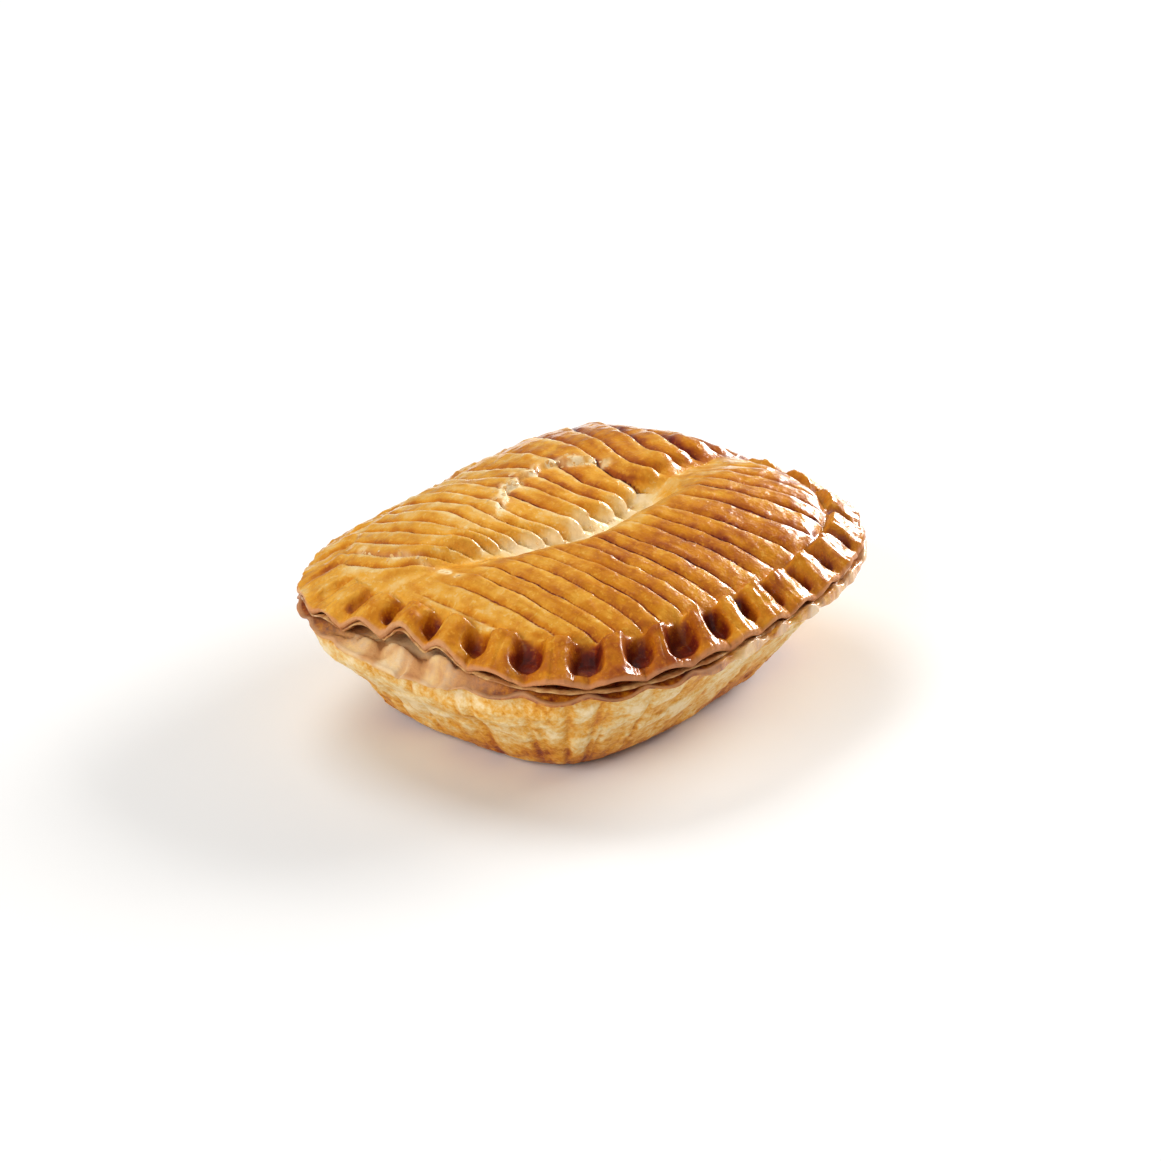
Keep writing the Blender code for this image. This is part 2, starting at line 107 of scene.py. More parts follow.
# Slashes: where each one crosses a line beside the valley, and how they fan out
FAR_SLASHES = (-0.0515, -0.046, -0.042, -0.0375, -0.032, -0.0275, -0.0225, -0.0175, -0.013,
               -0.006, -0.0003, 0.0055, 0.0112, 0.019, 0.025, 0.033, 0.0405, 0.048, 0.056)
NEAR_SLASHES = (-0.06, -0.0548, -0.05, -0.045, -0.0405, -0.0362, -0.0312, -0.0268, -0.022,
                -0.017, -0.0116, -0.006, 0.0015, 0.0066, 0.0135, 0.0225, 0.03, 0.0375, 0.045,
                0.053, 0.061)
# The near strips are numbered after the far ones
NEAR_NUMBERS = 38
FAR_REACH = 0.0112
NEAR_REACH = 0.0268
FAN_START = {"far": 0.004, "near": -0.029}
FAN_RATE = {"far": 14.5, "near": 8.5}
SLASH_HOOK = 0.006
SLASH_HOOK_REACH = 0.006
MOST_LEAN = 0.55
STRIP_LIFT = 0.0021
STRIP_DROP = {"far": 7, "near": 4.5}
LEAST_STRIP = 0.55
STRIP_SPREAD = 0.65
STRIP_SWELL = 0.55
STRIP_SWELL_MIDDLE = 0.85
SLASH_KINK_SHARE = 0.2
STRIP_ENDS = 0.6
STRIPS_FADE = 0.05
STRIPS_LEFT_FADE = 0.03
NEAR_STRIP_SHARE = 0.62
FLAT_STRIP_SHARE = 0.62
FLAT_STRIP_START = (0.008, 0.02)
CUT_WIDTH = 0.09
SLASH_WOBBLE = 0.0006
SLASH_DEPTH = 0.0004

# Crimped rim: pressed pits between rounded ridges
CRIMPS = 32
CRIMP_SWING = -0.25
CRIMP_SWING_PHASE = 4.843
CRIMP_PHASE = 1.669
CRIMP_INNER_SHARE = 0.85
RIGHT_CRIMP_INNER_SHARE = 0.89
CRIMP_RIDGE = 0.0029
RIDGE_TAPER = 0.4
RIDGE_ROUND = 0.85
BACK_RIDGE_SHARE = 0.16
CRIMP_CREASE = 0.0008
CRIMP_SCALLOP = 0.009
BACK_SCALLOP_SHARE = 0.22
PIT_WIDTH = 0.33
SLIT_WIDTH = 0.17
PIT_SLOPE = 1.4
PIT_FRONT_ANGLE = -2.2
PIT_FRONT_SPREAD = 0.6
PIT_RIGHT_SPREAD = 0.42
PIT_OUTER_SHARE = 0.985
PIT_STRAY = 0.012
BACK_PIT_DEPTH = 0.28
PIT_FLOOR_RISE = 0.3
PIT_FLOOR_DROP = 0.0012
CRIMP_BLEND = 0.015
CREASE_WIDTH = 0.018
BACK_CREASE_SHARE = 0.2

# The stretch of rim where the lid has pulled up and back from the case
LIFT = {"share": -0.01, "spread": 0.048}
LIFT_HEIGHT = 0.003
LIFT_PULL_BACK = 0.055
LIFT_ARCH = 0.0024
LIFT_ARCH_MIDDLE = 0.6
LIFT_START = 0.82
# Below it the case's edge sags, and folded dough swells up behind the edge
SAG = {"share": 0.002, "spread": 0.042}
SAG_DEPTH = 0.0026
SWELL_HEIGHT = 0.0042
SWELL_LEAST = 0.1
SWELL_REACH = 0.957
SWELL_WIDTH = 0.021
PAD_FOLD_DEPTH = 0.0014

# Case
FLANGE_OVERHANG = 0.003
FLANGE_THICKNESS = 0.0013
FLANGE_INNER_SHARE = 0.81
FLANGE_NOTCH = 0.006
FLANGE_DROOP = 0.0015
FLANGE_BEND = 0.94
FLANGE_LOBE = 0.008
FLANGE_WAVES = 9
FLANGE_WAVE = 0.0005
FLANGE_GAP = 0.0003
WALL_TAPER = 0.0213
WALL_TOP_HEIGHT = 0.0311
BASE_RADIUS = 0.005
WALL_SWELL = 0.35
# Two fuller stretches of the wall: low at the front left, and high below the lifted lid
LOW_BULGE = {"share": 0.06, "spread": 0.11, "depth": 0.0028}
HIGH_BULGE = {"share": -0.08, "spread": 0.05, "depth": 0.0027, "level": 0.2, "height": 0.25}
PLEATS = 27
PLEAT_SWING = 0.35
PLEAT_WIDTH = 0.07
PLEAT_DEPTH = 0.0007
WALL_CREASES = (0.033, 0.071, 0.098, 0.118)
WALL_CREASE_WIDTH = 0.0035
# A fold of dough that hangs over the wall below the lifted lid
LIP = {"share": 0.026, "spread": 0.03, "depth": 0.0013, "level": 0.34, "height": 0.075}

# A thin leaf of dough in the gap under the lid's edge
LEAF_POINTS = 1200
LEAF_WIDTH = 0.0022
LEAF_THICKNESS = 0.0004
LEAF_RIPPLE = 0.0007
LEAF_INSET = 0.014
LEAF_STRAY = 0.007
LEAF_LEVEL = 0.6
LEAF_LEVEL_STRAY = 0.3
LEAF_RIPPLE_SCALE = 260

# Ragged edges of the lid and the case, as shares of the radius
LID_RAGS = (0.006, 0.003)
CASE_RAGS = (0.007, 0.003)
MOST_CASE_RAG = 0.004

# Tears in the lid: along the fold, and a short one across the far strips at the left
TEAR_WIDTH = 0.0015
TEAR_STRAY = 0.0016
TEAR_INSET = 0.0002
LEFT_TEAR_X = -0.0415
LEFT_TEAR_WIDTH = 0.0011
LEFT_TEAR_STRAY = 0.001
LEFT_TEAR_SHARE = 0.7

# Small relief of the dough, in metres
LID_RELIEF = {"lumps": 0.0005, "small lumps": 0.00032, "blisters": 0.0001, "streaks": 0.0001,
              "wrinkles": -0.0001, "knuckles": 0.0003, "rim wrinkles": -0.00045}
WALL_RELIEF = {"lumps": 0.00042, "small lumps": 0.00022, "flakes": 0.00034, "thick flakes": 0.00028,
               "plain": -0.0006}
PUFF_RELIEF = {"plain": 0.0005, "crinkle": 0.0008}

# Unevenness of the dough: size of its lumps in metres, number of its pattern, and octaves
GRAIN = {
    "slash bends": (0.011, 3, 1), "slash kinks": (0.0045, 4, 1), "lumps": (0.011, 5, 1),
    "small lumps": (0.0034, 6, 2), "strip swell": (0.01, 8, 1), "blisters": (0.0016, 9, 1),
    "streaks": (0.003, 11, 2), "wrinkles": (0.003, 12, 1), "knuckles": (0.0017, 14, 2),
    "rim wrinkles": (0.0019, 15, 2), "open cuts": (0.0085, 17, 1), "patches": (0.014, 21, 3),
    "specks": (0.0022, 22, 2), "low sides": (0.008, 23, 2), "tear rags": (0.0018, 31, 2),
    "tear course": (0.004, 32, 3), "left tear course": (0.004, 33, 1),
    "case lumps": (0.006, 63, 2), "case small lumps": (0.0018, 64, 2),
    "case flakes": (0.0055, 65, 2), "case patches": (0.007, 66, 3), "case specks": (0.0015, 67, 2),
    "crinkle": (0.0038, 68, 3),
}
# Unevenness round the rim: lumps in a full turn, and number of their pattern
RIM_GRAIN = {
    "lid rags": (70, 51), "lid small rags": (190, 52), "lid layers": (40, 53), "lid roll": (60, 54),
    "case rags": (46, 61), "case small rags": (150, 62), "pad folds": (90, 71),
    "pad small folds": (210, 72), "leaf course": (60, 80), "leaf level": (25, 90),
}

# Baking, from 0 for pale dough to 1 for nearly black: the plain lid, and what each part adds. Some
# parts add painted shade or painted highlight rather than baking: the strips' low sides, crests and
# slashes, the near shoulder, the pits, and the case's creases and foot
LID_BAKE_AND_SHADE = {"plain": 0.47, "right": 0.07, "patches": 0.11, "specks": 0.05, "streaks": 0.05,
            "low side": 0.13, "far low side": 0.08, "low side patches": 0.12,
            "crest": -0.07, "far crest": -0.07, "finger crest": -0.12, "cut": 0.18,
            "valley": -0.22, "far valley": -0.2, "left back": -0.1, "shoulder": -0.2,
            "far": -0.05, "far right": 0.04, "rim": 0.12, "front rim": 0.06,
            "right front rim": -0.14, "ridge": -0.1, "front ridge": 0.06}
PIT_BAKE_AND_SHADE = {"plain": 0.56, "front": 0.16, "front floor": 0.15, "patches": 0.2, "specks": 0.14}
TORN_BAKE = -0.3
CASE_BAKE_AND_SHADE = {"plain": 0.24, "patches": 0.22, "specks": 0.15, "creases": 0.16, "flakes": -0.14,
             "foot": 0.36, "top": 0.12, "right": 0.07, "edge": 0.36}

# Loose flakes: how many to a square metre where they lie thickest, and their size
LID_FLAKES = 1.2e6
LID_FLAKE_SIZE = 0.00065
LEAST_FLAKE = (0.3, 0.25, 0.1)
LARGEST_FLAKE = (1.2, 0.8, 0.3)
FLAKE_TILT = 0.4
FLAKE_SEED = 5

# Shares of each sheet's grid that go to its faces
LID_TOP_BAND = 0.92
LID_ROLL_BAND = 0.05
FLANGE_BAND = 0.2
FLANGE_ROLL_BAND = 0.14

LID_CELLS = (308, 300)
CASE_CELLS = (700, 132)
OUTLINE_SAMPLES = 1441
NORMAL_STEP = 1e-3
WELD_DISTANCE = 1e-6

# Camera, as the photo was taken
CAMERA_PLACE = (-0.7248, -0.5595, 0.4712)
CAMERA_AIM = (0.01381, 0.01424, 0.015)
LENS = 139.5
SENSOR = 36

# Studio
FLOOR_SIZE = 8
FLOOR_COLOR = (0.86, 0.86, 0.86, 1)
ROOM_COLOR = (1, 0.98, 0.95, 1)
ROOM_STRENGTH = 0.2
LIGHT_AIM = (0, 0, 0.03)
# Each light's place, size, watts and colour, and whether it shows only as a reflection
LIGHTS = (
    ("key", (0.86, -0.3, 0.43), (0.6, 0.34), 11, (1, 0.99, 0.97), False),
    ("shine", (0.88, -0.12, 0.4), (0.4, 0.28), 11, (1, 1, 0.98), True),
    ("glint", (0.92, 0.18, 0.17), (0.3, 0.16), 3, (1, 1, 0.98), True),
    ("top", (0.15, 0.55, 0.95), (0.7, 0.5), 6, (1, 0.99, 0.97), False),
    ("fill", (-0.88, 0.02, 0.5), (0.8, 0.6), 7, (1, 0.98, 0.96), False),
)


def unit(value):
    return np.clip(value, 0, 1)


def rise(low, high, value):
    """0 below low, 1 above high, and a smooth climb between them."""
    t = unit((value - low) / (high - low))
    return t * t * (3 - 2 * t)


def fade(low, high, value):
    return 1 - rise(low, high, value)


def bell(value, width):
    return np.exp(-((value / width) ** 2))


def mixed(one, other, share):
    return one + (other - one) * share


def scatter(number):
    """A repeatable value between 0 and 1 for each whole number."""
    return np.mod(np.sin(number * 12.9898 + 4.1) * 43758.5453, 1)


def dough_noise(points, cell, seed):
    """Smooth uneven values from -1 to 1 in space, with lumps of about this size."""
    place = np.asarray(points, float) / cell
    base = np.floor(place)
    part = place - base
    blend = part * part * (3 - 2 * part)
    total = 0
    for corner in np.ndindex(2, 2, 2):
        step = np.array(corner)
        weight = np.prod(np.where(step == 1, blend, 1 - blend), axis=-1)
        spot = base + step
        number = spot[..., 0] * 127.1 + spot[..., 1] * 311.7 + spot[..., 2] * 74.7 + seed * 53.3
        total = total + weight * scatter(number)
    return 2 * total - 1


def rough_noise(points, cell, seed, octaves=3):
    """The same with finer lumps laid over it."""
    total = 0
    for octave in range(octaves):
        total = total + dough_noise(points, cell / 2**octave, seed + octave) / 2**octave
    return total / (2 - 2 ** (1 - octaves))


def ray(angle):
    """X and Y of a step of one metre in a direction."""
    return np.stack([np.cos(angle), np.sin(angle)])


def outline_radius(angle):
    """Distance from the middle to the lid's outline: a squarish oval, slightly egg-shaped."""
    across = np.abs(np.cos(angle) / HALF_LENGTH) ** SQUARENESS
    along = np.abs(np.sin(angle) / HALF_WIDTH) ** SQUARENESS
    return (across + along) ** (-1 / SQUARENESS) * (1 + EGG_SHAPE * np.sin(3 * angle))


def outline_table():
    """Angles round the pie, and the share of the rim passed at each."""
    angles = np.linspace(-pi, pi, OUTLINE_SAMPLES)
    steps = np.hypot(*np.diff(outline_radius(angles) * ray(angles)))
    passed = np.concatenate([[0], np.cumsum(steps)])
    return angles, passed / passed[-1]


ANGLES, RIM_SHARES = outline_table()


def place_points(flat, z):
    """Points in the part's frame, where the outline's middle lies a little off the origin."""
    x, y = flat
    return np.stack([x, y - MIDDLE_Y, z], axis=-1)


def rim_share(angle):
    return np.interp(angle, ANGLES, RIM_SHARES)


def grain(points, name):
    return rough_noise(points, *GRAIN[name])


def rim_grain(angle, name, level=0):
    """Uneven values round the rim that join up after a full turn."""
    lumps, seed = RIM_GRAIN[name]
    reach = lumps / (2 * pi)
    ring = np.stack([np.cos(angle) * reach, np.sin(angle) * reach, level + 0 * angle], axis=-1)
    return dough_noise(ring + 40, 1, seed)


def added_up(sizes, shares):
    """Sum of each part's size times its share at every point."""
    return sum(sizes[part] * share for part, share in shares.items())


def crimp_place(angle):
    """Number of the nearest pit round the rim, and the offset from its middle in pitches."""
    share = rim_share(angle)
    swing = CRIMP_SWING * np.sin(6 * pi * share + CRIMP_SWING_PHASE)
    turn = CRIMPS * share + swing + CRIMP_PHASE
    number = np.floor(turn + 0.5)
    return np.mod(number, CRIMPS), turn - number


def pit_width(angle, number):
    """Half the width of a pit in pitches: pockets at the front, slits elsewhere."""
    turn = np.mod(angle - PIT_FRONT_ANGLE + pi, 2 * pi) - pi
    spread = np.where(turn > 0, PIT_RIGHT_SPREAD, PIT_FRONT_SPREAD)
    width = mixed(SLIT_WIDTH, PIT_WIDTH, bell(turn, spread))
    return width * (0.85 + 0.3 * scatter(number))


def crimp_shape(angle):
    """How far a point of the rim lies abreast of a pit, and how far up the ridge beside it."""
    number, offset = crimp_place(angle)
    from_pit = np.abs(offset)
    abreast = fade(0.5, 1.05, from_pit / pit_width(angle, number))
    return abreast, np.sin(pi * from_pit) ** RIDGE_ROUND


def crimp_arch(angle):
    """0 at the pits and 1 on the ridges, as round arches."""
    return np.sin(pi * np.abs(crimp_place(angle)[1])) ** 1.25


def crimp_pocket(angle, rim_distance, border):
    """1 on the floor of a pressed pocket and 0 outside it."""
    number, offset = crimp_place(angle)
    middle = 0.5 * (border + PIT_OUTER_SHARE) + PIT_STRAY * (scatter(number + 50) - 0.5)
    half_length = 0.5 * (PIT_OUTER_SHARE - border) * (0.98 + 0.2 * scatter(number + 70))
    across = np.maximum(offset, -offset / PIT_SLOPE) / pit_width(angle, number)
    along = np.abs(rim_distance - middle) / half_length
    return fade(0.45, 1.08, (across**3 + along**3) ** (1 / 3))


def back_side(angle):
    """1 along the far side of the rim, where the crimps are slighter."""
    ends = rise(0.5, 1, np.cos(angle)) - rise(0.5, 1, -np.cos(angle))
    return rise(-0.35, 0.45, np.sin(angle) - 0.25 * np.cos(angle) + 0.45 * ends)


def ridge_height(angle, rim_distance, border):
    """How high the crest of a ridge stands: most beside the dome, less at the edge and the back."""
    height = CRIMP_RIDGE * mixed(1, BACK_RIDGE_SHARE, back_side(angle))
    return height * (1 - RIDGE_TAPER * rise(border, 1, rim_distance))


def rim_scallop(angle):
    """Share by which the lid's edge stands out on the ridges and in at the pits."""
    pit, ridge = crimp_shape(angle)
    size = CRIMP_SCALLOP * mixed(1, BACK_SCALLOP_SHARE, back_side(angle))
    return size * (ridge - 0.4 - 0.6 * pit) - LIFT_PULL_BACK * rim_lift(angle)


def right_end(angle):
    """1 towards the right end of the pie, where the shoulder is fuller and the crimps shorter."""
    return rise(-0.2, 0.9, np.cos(angle))


def right_front(angle):
    """1 where the case's edge is thick, crinkled and glossy."""
    return rise(-2.15, -1.8, angle) * fade(-0.45, 0.1, angle)


def rim_bell(angle, stretch):
    """1 in the middle of a stretch of the rim, fading to 0 on both sides."""
    away = np.mod(rim_share(angle) - stretch["share"] + 0.5, 1) - 0.5
    return bell(away, stretch["spread"])


def rim_lift(angle):
    """1 in the middle of the stretch where the lid has pulled away from the case."""
    return rim_bell(angle, LIFT)


def valley_line(x):
    """Y of the valley's floor: almost straight, then bending back towards the left end."""
    past = VALLEY_BEND_START - x
    bend = VALLEY_BEND * 0.5 * (past + np.hypot(past, VALLEY_BEND_EASE))
    return VALLEY_OFFSET + VALLEY_SWAY * np.cos((x + 0.038) / 0.012) + bend


def strip_place(x, across, side):
    """Number of the pastry strip at a point, and the share of its width passed there."""
    reach = np.abs(across)
    slashes = FAR_SLASHES if side == "far" else NEAR_SLASHES
    beside = reach - (FAR_REACH if side == "far" else NEAR_REACH)
    lean = np.clip((x - FAN_START[side]) * FAN_RATE[side], 0, MOST_LEAN)
    hook = SLASH_HOOK * bell(reach, SLASH_HOOK_REACH) if side == "far" else 0
    crossing = x - lean * beside - hook
    place = np.interp(crossing, slashes, range(len(slashes)))
    strip = np.minimum(np.floor(place), len(slashes) - 2)
    last = len(slashes) - 1
    ends = rise(0, STRIP_ENDS, place) * fade(last - STRIP_ENDS, last, place)
    return strip, place - strip, ends


def strip_height(share, rounding, drop):
    """Cross-section of a strip: a crest that drops into the next slash, or a round finger."""
    louvre = share**0.7 * (1 - share**drop)
    finger = np.sqrt(np.abs(np.sin(pi * share**1.4)))
    return mixed(louvre, finger, rounding)


def dome_height(rim_distance, angle):
    power = mixed(DOME_POWER, RIGHT_DOME_POWER, right_end(angle))
    return DOME_HEIGHT * (1 - unit(rim_distance) ** power)


def valley_shape(x, across, strip, share):
    """1 on the valley's floor; the far strips end above it as rounded fingers."""
    along = rise(*VALLEY_START, x) ** VALLEY_START_POWER
    along = along * (1 - VALLEY_SHALLOW_SHARE * rise(*VALLEY_SHALLOW, x)) * fade(*VALLEY_END, x)
    uneven = scatter(strip + 7) + (2 * share - 1) ** 2
    past_end = unit((across - FINGER_NEAREST - FINGER_UNEVEN * uneven) / FINGER_ROUND)
    slope = fade(-0.1, 1, across / VALLEY_FAR_RISE)
    drop = 1 - np.sqrt(1 - (1 - past_end) ** 2)
    far = (1 - FINGER_DROP) * slope + FINGER_DROP * drop
    climb = unit(-across / VALLEY_NEAR_RISE)
    near = 0.5 * fade(0, 1, climb) + 0.5 * (1 - climb) ** 2
    return along * np.where(across > 0, far, near)


def fold_line(x, across):
    """Distance inside the torn fold, and how strong the fold is there."""
    offset = (x - FOLD_MIDDLE) / FOLD_HALF_WIDTH
    short, long = FOLD_RIPPLES
    line = FOLD_REACH - FOLD_BOW * offset**2 + FOLD_JAG * np.sin(x / short + 2 * np.sin(x / long))
    return line - across, fade(*FOLD_FADE, np.abs(offset))


def fold_shape(x, across):
    """1 just inside the torn fold, fading towards the valley."""
    inward, strength = fold_line(x, across)
    return strength * rise(0, FOLD_STEP, inward) * rise(*FOLD_RUN_OUT, across)


def lid_raise(angle):
    """How far the lid's edge has pulled up from the case."""
    return rim_lift(angle) * (LIFT_HEIGHT + LIFT_ARCH * (crimp_arch(angle) - LIFT_ARCH_MIDDLE))


def lid_underside(angle):
    """Height of the lower face of the lid at its edge."""
    return SEAM_HEIGHT + SEAM_GAP + LID_EDGE_ARCH * crimp_arch(angle) + lid_raise(angle)


def flange_top(angle, reach):
    """Height of the case's upper face near its edge."""
    sag = rim_bell(angle, SAG)
    arch = crimp_arch(angle)
    swollen = SWELL_HEIGHT * sag * mixed(SWELL_LEAST, 1, arch**1.3)
    droop = FLANGE_DROOP * arch * (1 - rim_lift(angle)) + SAG_DEPTH * sag
    swollen = swollen * bell(reach - SWELL_REACH, SWELL_WIDTH)
    return SEAM_HEIGHT + swollen - droop * rise(FLANGE_BEND, 1, reach)


class Lid:
    """The lid's upper face: how high, brown, glossy, torn and flaky it is at each point."""

    def __init__(self, flat, angle, rim_distance):
        self.x, self.y = flat
        self.angle, self.rim_distance = angle, rim_distance
        self.flat = np.stack([*flat, 0 * angle], axis=-1)
        self.ridge = crimp_shape(angle)[1]
        self.border = mixed(CRIMP_INNER_SHARE, RIGHT_CRIMP_INNER_SHARE, right_end(angle))
        self.band = rise(self.border - CRIMP_BLEND, self.border + CRIMP_BLEND, rim_distance)
        self.pocket = crimp_pocket(angle, rim_distance, self.border)
        self.place_strips()
        self.shape()
        self.bake_and_shade()

    def grain(self, name):
        return grain(self.flat, name)

    def place_strips(self):
        """Where each point lies on its strip of pastry, and how far the strips stand out there."""
        wobble = self.grain("slash bends") + SLASH_KINK_SHARE * self.grain("slash kinks")
        place = self.x + SLASH_WOBBLE * wobble
        self.across = across = self.y - valley_line(self.x)
        far_strip, far_share, far_ends = strip_place(place, across, "far")
        near_strip, near_share, near_ends = strip_place(place, across, "near")
        self.reach = np.abs(across)
        self.far = across > 0
        self.strip = np.where(self.far, far_strip, near_strip + NEAR_NUMBERS)
        self.share = unit(np.where(self.far, far_share, near_share))
        left = STRIPS_LEFT_FADE * rise(0.5, 0.9, -np.cos(self.angle))
        start = self.border - STRIPS_FADE + left
        on_dome = fade(start, self.border + left, self.rim_distance)
        on_dome = on_dome * np.where(self.far, far_ends, near_ends)
        by_finger = rise(0, 0.005, self.reach)
        by_slope = rise(0.001, 0.013, self.reach)
        calm = 1 - 0.15 * fade(-0.025, 0.02, self.x)
        self.strips = np.where(self.far, by_finger, by_slope * calm) * on_dome
        self.valley = valley_shape(self.x, across, self.strip, self.share)

    def shape(self):
        """The height of the lid: dome, strips, valley, fold, crimps and small lumps."""
        dome = dome_height(self.rim_distance, self.angle)
        back = back_side(self.angle)
        size = STRIP_LIFT * (LEAST_STRIP + STRIP_SPREAD * scatter(self.strip)) * self.strips
        size = size * (STRIP_SWELL_MIDDLE + STRIP_SWELL * self.grain("strip swell"))
        rounding = FINGER_ROUNDING * self.far * fade(*FINGER_FADE, self.reach)
        flat_share = mixed(1, FLAT_STRIP_SHARE, rise(*FLAT_STRIP_START, self.reach))
        size = size * np.where(self.far, flat_share, NEAR_STRIP_SHARE)
        cut = bell(np.minimum(self.share, 1 - self.share), CUT_WIDTH) * self.strips
        drop = np.where(self.far, STRIP_DROP["far"], STRIP_DROP["near"])
        relief = size * strip_height(self.share, rounding, drop) - SLASH_DEPTH * cut
        relief = relief - VALLEY_DEPTH * self.valley - FOLD_DEPTH * fold_shape(self.x, self.across)
        height = LID_EDGE_HEIGHT + dome + relief
        crease = bell(self.rim_distance - self.border + 0.5 * CRIMP_BLEND, CREASE_WIDTH)
        ridge = ridge_height(self.angle, self.rim_distance, self.border)
        height = height + ridge * self.ridge * self.band
        height = height - CRIMP_CREASE * crease * mixed(1, BACK_CREASE_SHARE, back)
        height = height + self.puffs()
        floor = LID_EDGE_HEIGHT - PIT_FLOOR_DROP + PIT_FLOOR_RISE * dome
        height = mixed(height, floor, self.pocket * mixed(1, BACK_PIT_DEPTH, back))
        edge = rise(LIFT_START, 1, self.rim_distance)
        self.height = height + lid_raise(self.angle) * edge

    def puffs(self):
        """Small lumps, blisters and streaks of the baked dough."""
        kept = 0.35 + 0.65 * scatter(self.strip + 3 + np.round(self.share))
        self.cut_strength = rise(-0.75, 0.15, self.grain("open cuts")) * kept
        streak = (self.share * 0.01 + self.strip * 0.07, self.reach * 0.35, self.strip * 0.03)
        self.streaks = grain(np.stack(streak, axis=-1), "streaks")
        around = (rim_share(self.angle) * 0.37, self.rim_distance * 0.012, 0 * self.x)
        rim_wrinkles = (1 - np.abs(grain(np.stack(around, axis=-1), "rim wrinkles"))) ** 4
        return added_up(LID_RELIEF, {
            "lumps": self.grain("lumps"), "small lumps": self.grain("small lumps"),
            "blisters": rise(0.45, 0.85, self.grain("blisters")), "streaks": self.streaks,
            "wrinkles": np.abs(self.grain("wrinkles")),
            "knuckles": self.grain("knuckles") * self.band,
            "rim wrinkles": rim_wrinkles * self.band,
        })

    def bake_and_shade(self):
        """How brown, torn, flaky and glossy each point is, with painted shade and painted highlight
        laid into the brown level.
        """
        share, x, y, far, band = self.share, self.x, self.y, self.far, self.band
        patches, specks = self.grain("patches"), self.grain("specks")
        front = 1 - back_side(self.angle)
        warm = rise(-0.06, 0.05, 0.75 * x - 0.65 * y)
        # Painted shade: each strip darker on its low side, partly deeper baking
        low_side = fade(0, 0.4, share) * self.strips
        finger = rise(0.15, 0.55, self.valley)
        # Painted highlight: each strip paler along its crest, most on the finger ends, partly paler
        # dough
        crest = rise(0.55, 0.8, share) * fade(0.9, 0.97, share) * self.strips
        # Painted shade: a darker line in each slash
        cut = np.maximum(rise(0.93, 0.985, share), fade(0, 0.05, share))
        ridge = self.ridge * band
        brown = added_up(LID_BAKE_AND_SHADE, {
            "plain": 1, "right": warm, "patches": patches, "specks": specks,
            "streaks": self.streaks, "low side": low_side, "far low side": low_side * far,
            "low side patches": low_side * self.grain("low sides"), "crest": crest,
            "far crest": crest * far, "finger crest": crest * far * finger,
            "cut": cut * self.strips, "valley": rise(0.35, 0.9, self.valley),
            "far valley": far * rise(0.22, 0.75, self.valley),
            "left back": rise(-0.01, 0.04, 0.7 * y - 0.7 * x),
            # Painted highlight: the near strips paler on the shoulder beside the valley, where
            # light falls on them
            "shoulder": rise(-0.03, 0.01, x) * fade(0.006, 0.02, self.reach) * ~far,
            "far": far, "far right": far * rise(0, 0.03, x), "rim": band,
            "front rim": band * front, "right front rim": band * right_front(self.angle),
            "ridge": ridge, "front ridge": ridge * front,
        })
        # Pits darker, partly deeper baking, partly painted shade in the recesses, most on the
        # floors at the front
        pit = added_up(PIT_BAKE_AND_SHADE, {
            "plain": 1, "front": front, "front floor": front * self.pocket, "patches": patches,
            "specks": specks,
        })
        side_pit = rise(0, 0.45, self.pocket)
        brown = mixed(brown, pit, side_pit * (0.75 + 0.25 * front))
        ragged = rise(-0.15, 0.35, self.grain("tear rags"))
        torn = self.tears() * (0.15 + 0.85 * ragged)
        lips = 0.55 * rise(0.86, 0.93, share) * fade(0.955, 0.985, share)
        lips = lips * self.strips * ragged * rise(0.1, 0.6, specks + 0.5)
        self.torn = unit(torn + 0.6 * lips)
        self.brown = unit(brown + TORN_BAKE * self.torn)
        crumbs = rise(0.55, 0.95, self.valley) * fade(0.018, 0.026, x)
        self.flaky = unit(torn + 0.3 * crumbs * ragged)
        self.glaze = unit(0.62 + 0.3 * patches + 0.35 * side_pit + 0.15 * warm - 0.9 * self.torn)

    def tears(self):
        """1 along the torn fold, and a little less along a short tear at the left."""
        inward, strength = fold_line(self.x, self.across)
        stray = TEAR_STRAY * self.grain("tear course")
        torn = bell(inward - TEAR_INSET + stray, TEAR_WIDTH) * strength
        torn = torn * rise(0.001, 0.006, self.across)
        stray = LEFT_TEAR_STRAY * self.grain("left tear course")
        left = bell(self.x - LEFT_TEAR_X + stray, LEFT_TEAR_WIDTH)
        left = left * rise(0, 0.008, self.y) * fade(0.028, 0.036, self.y)
        return torn + LEFT_TEAR_SHARE * left


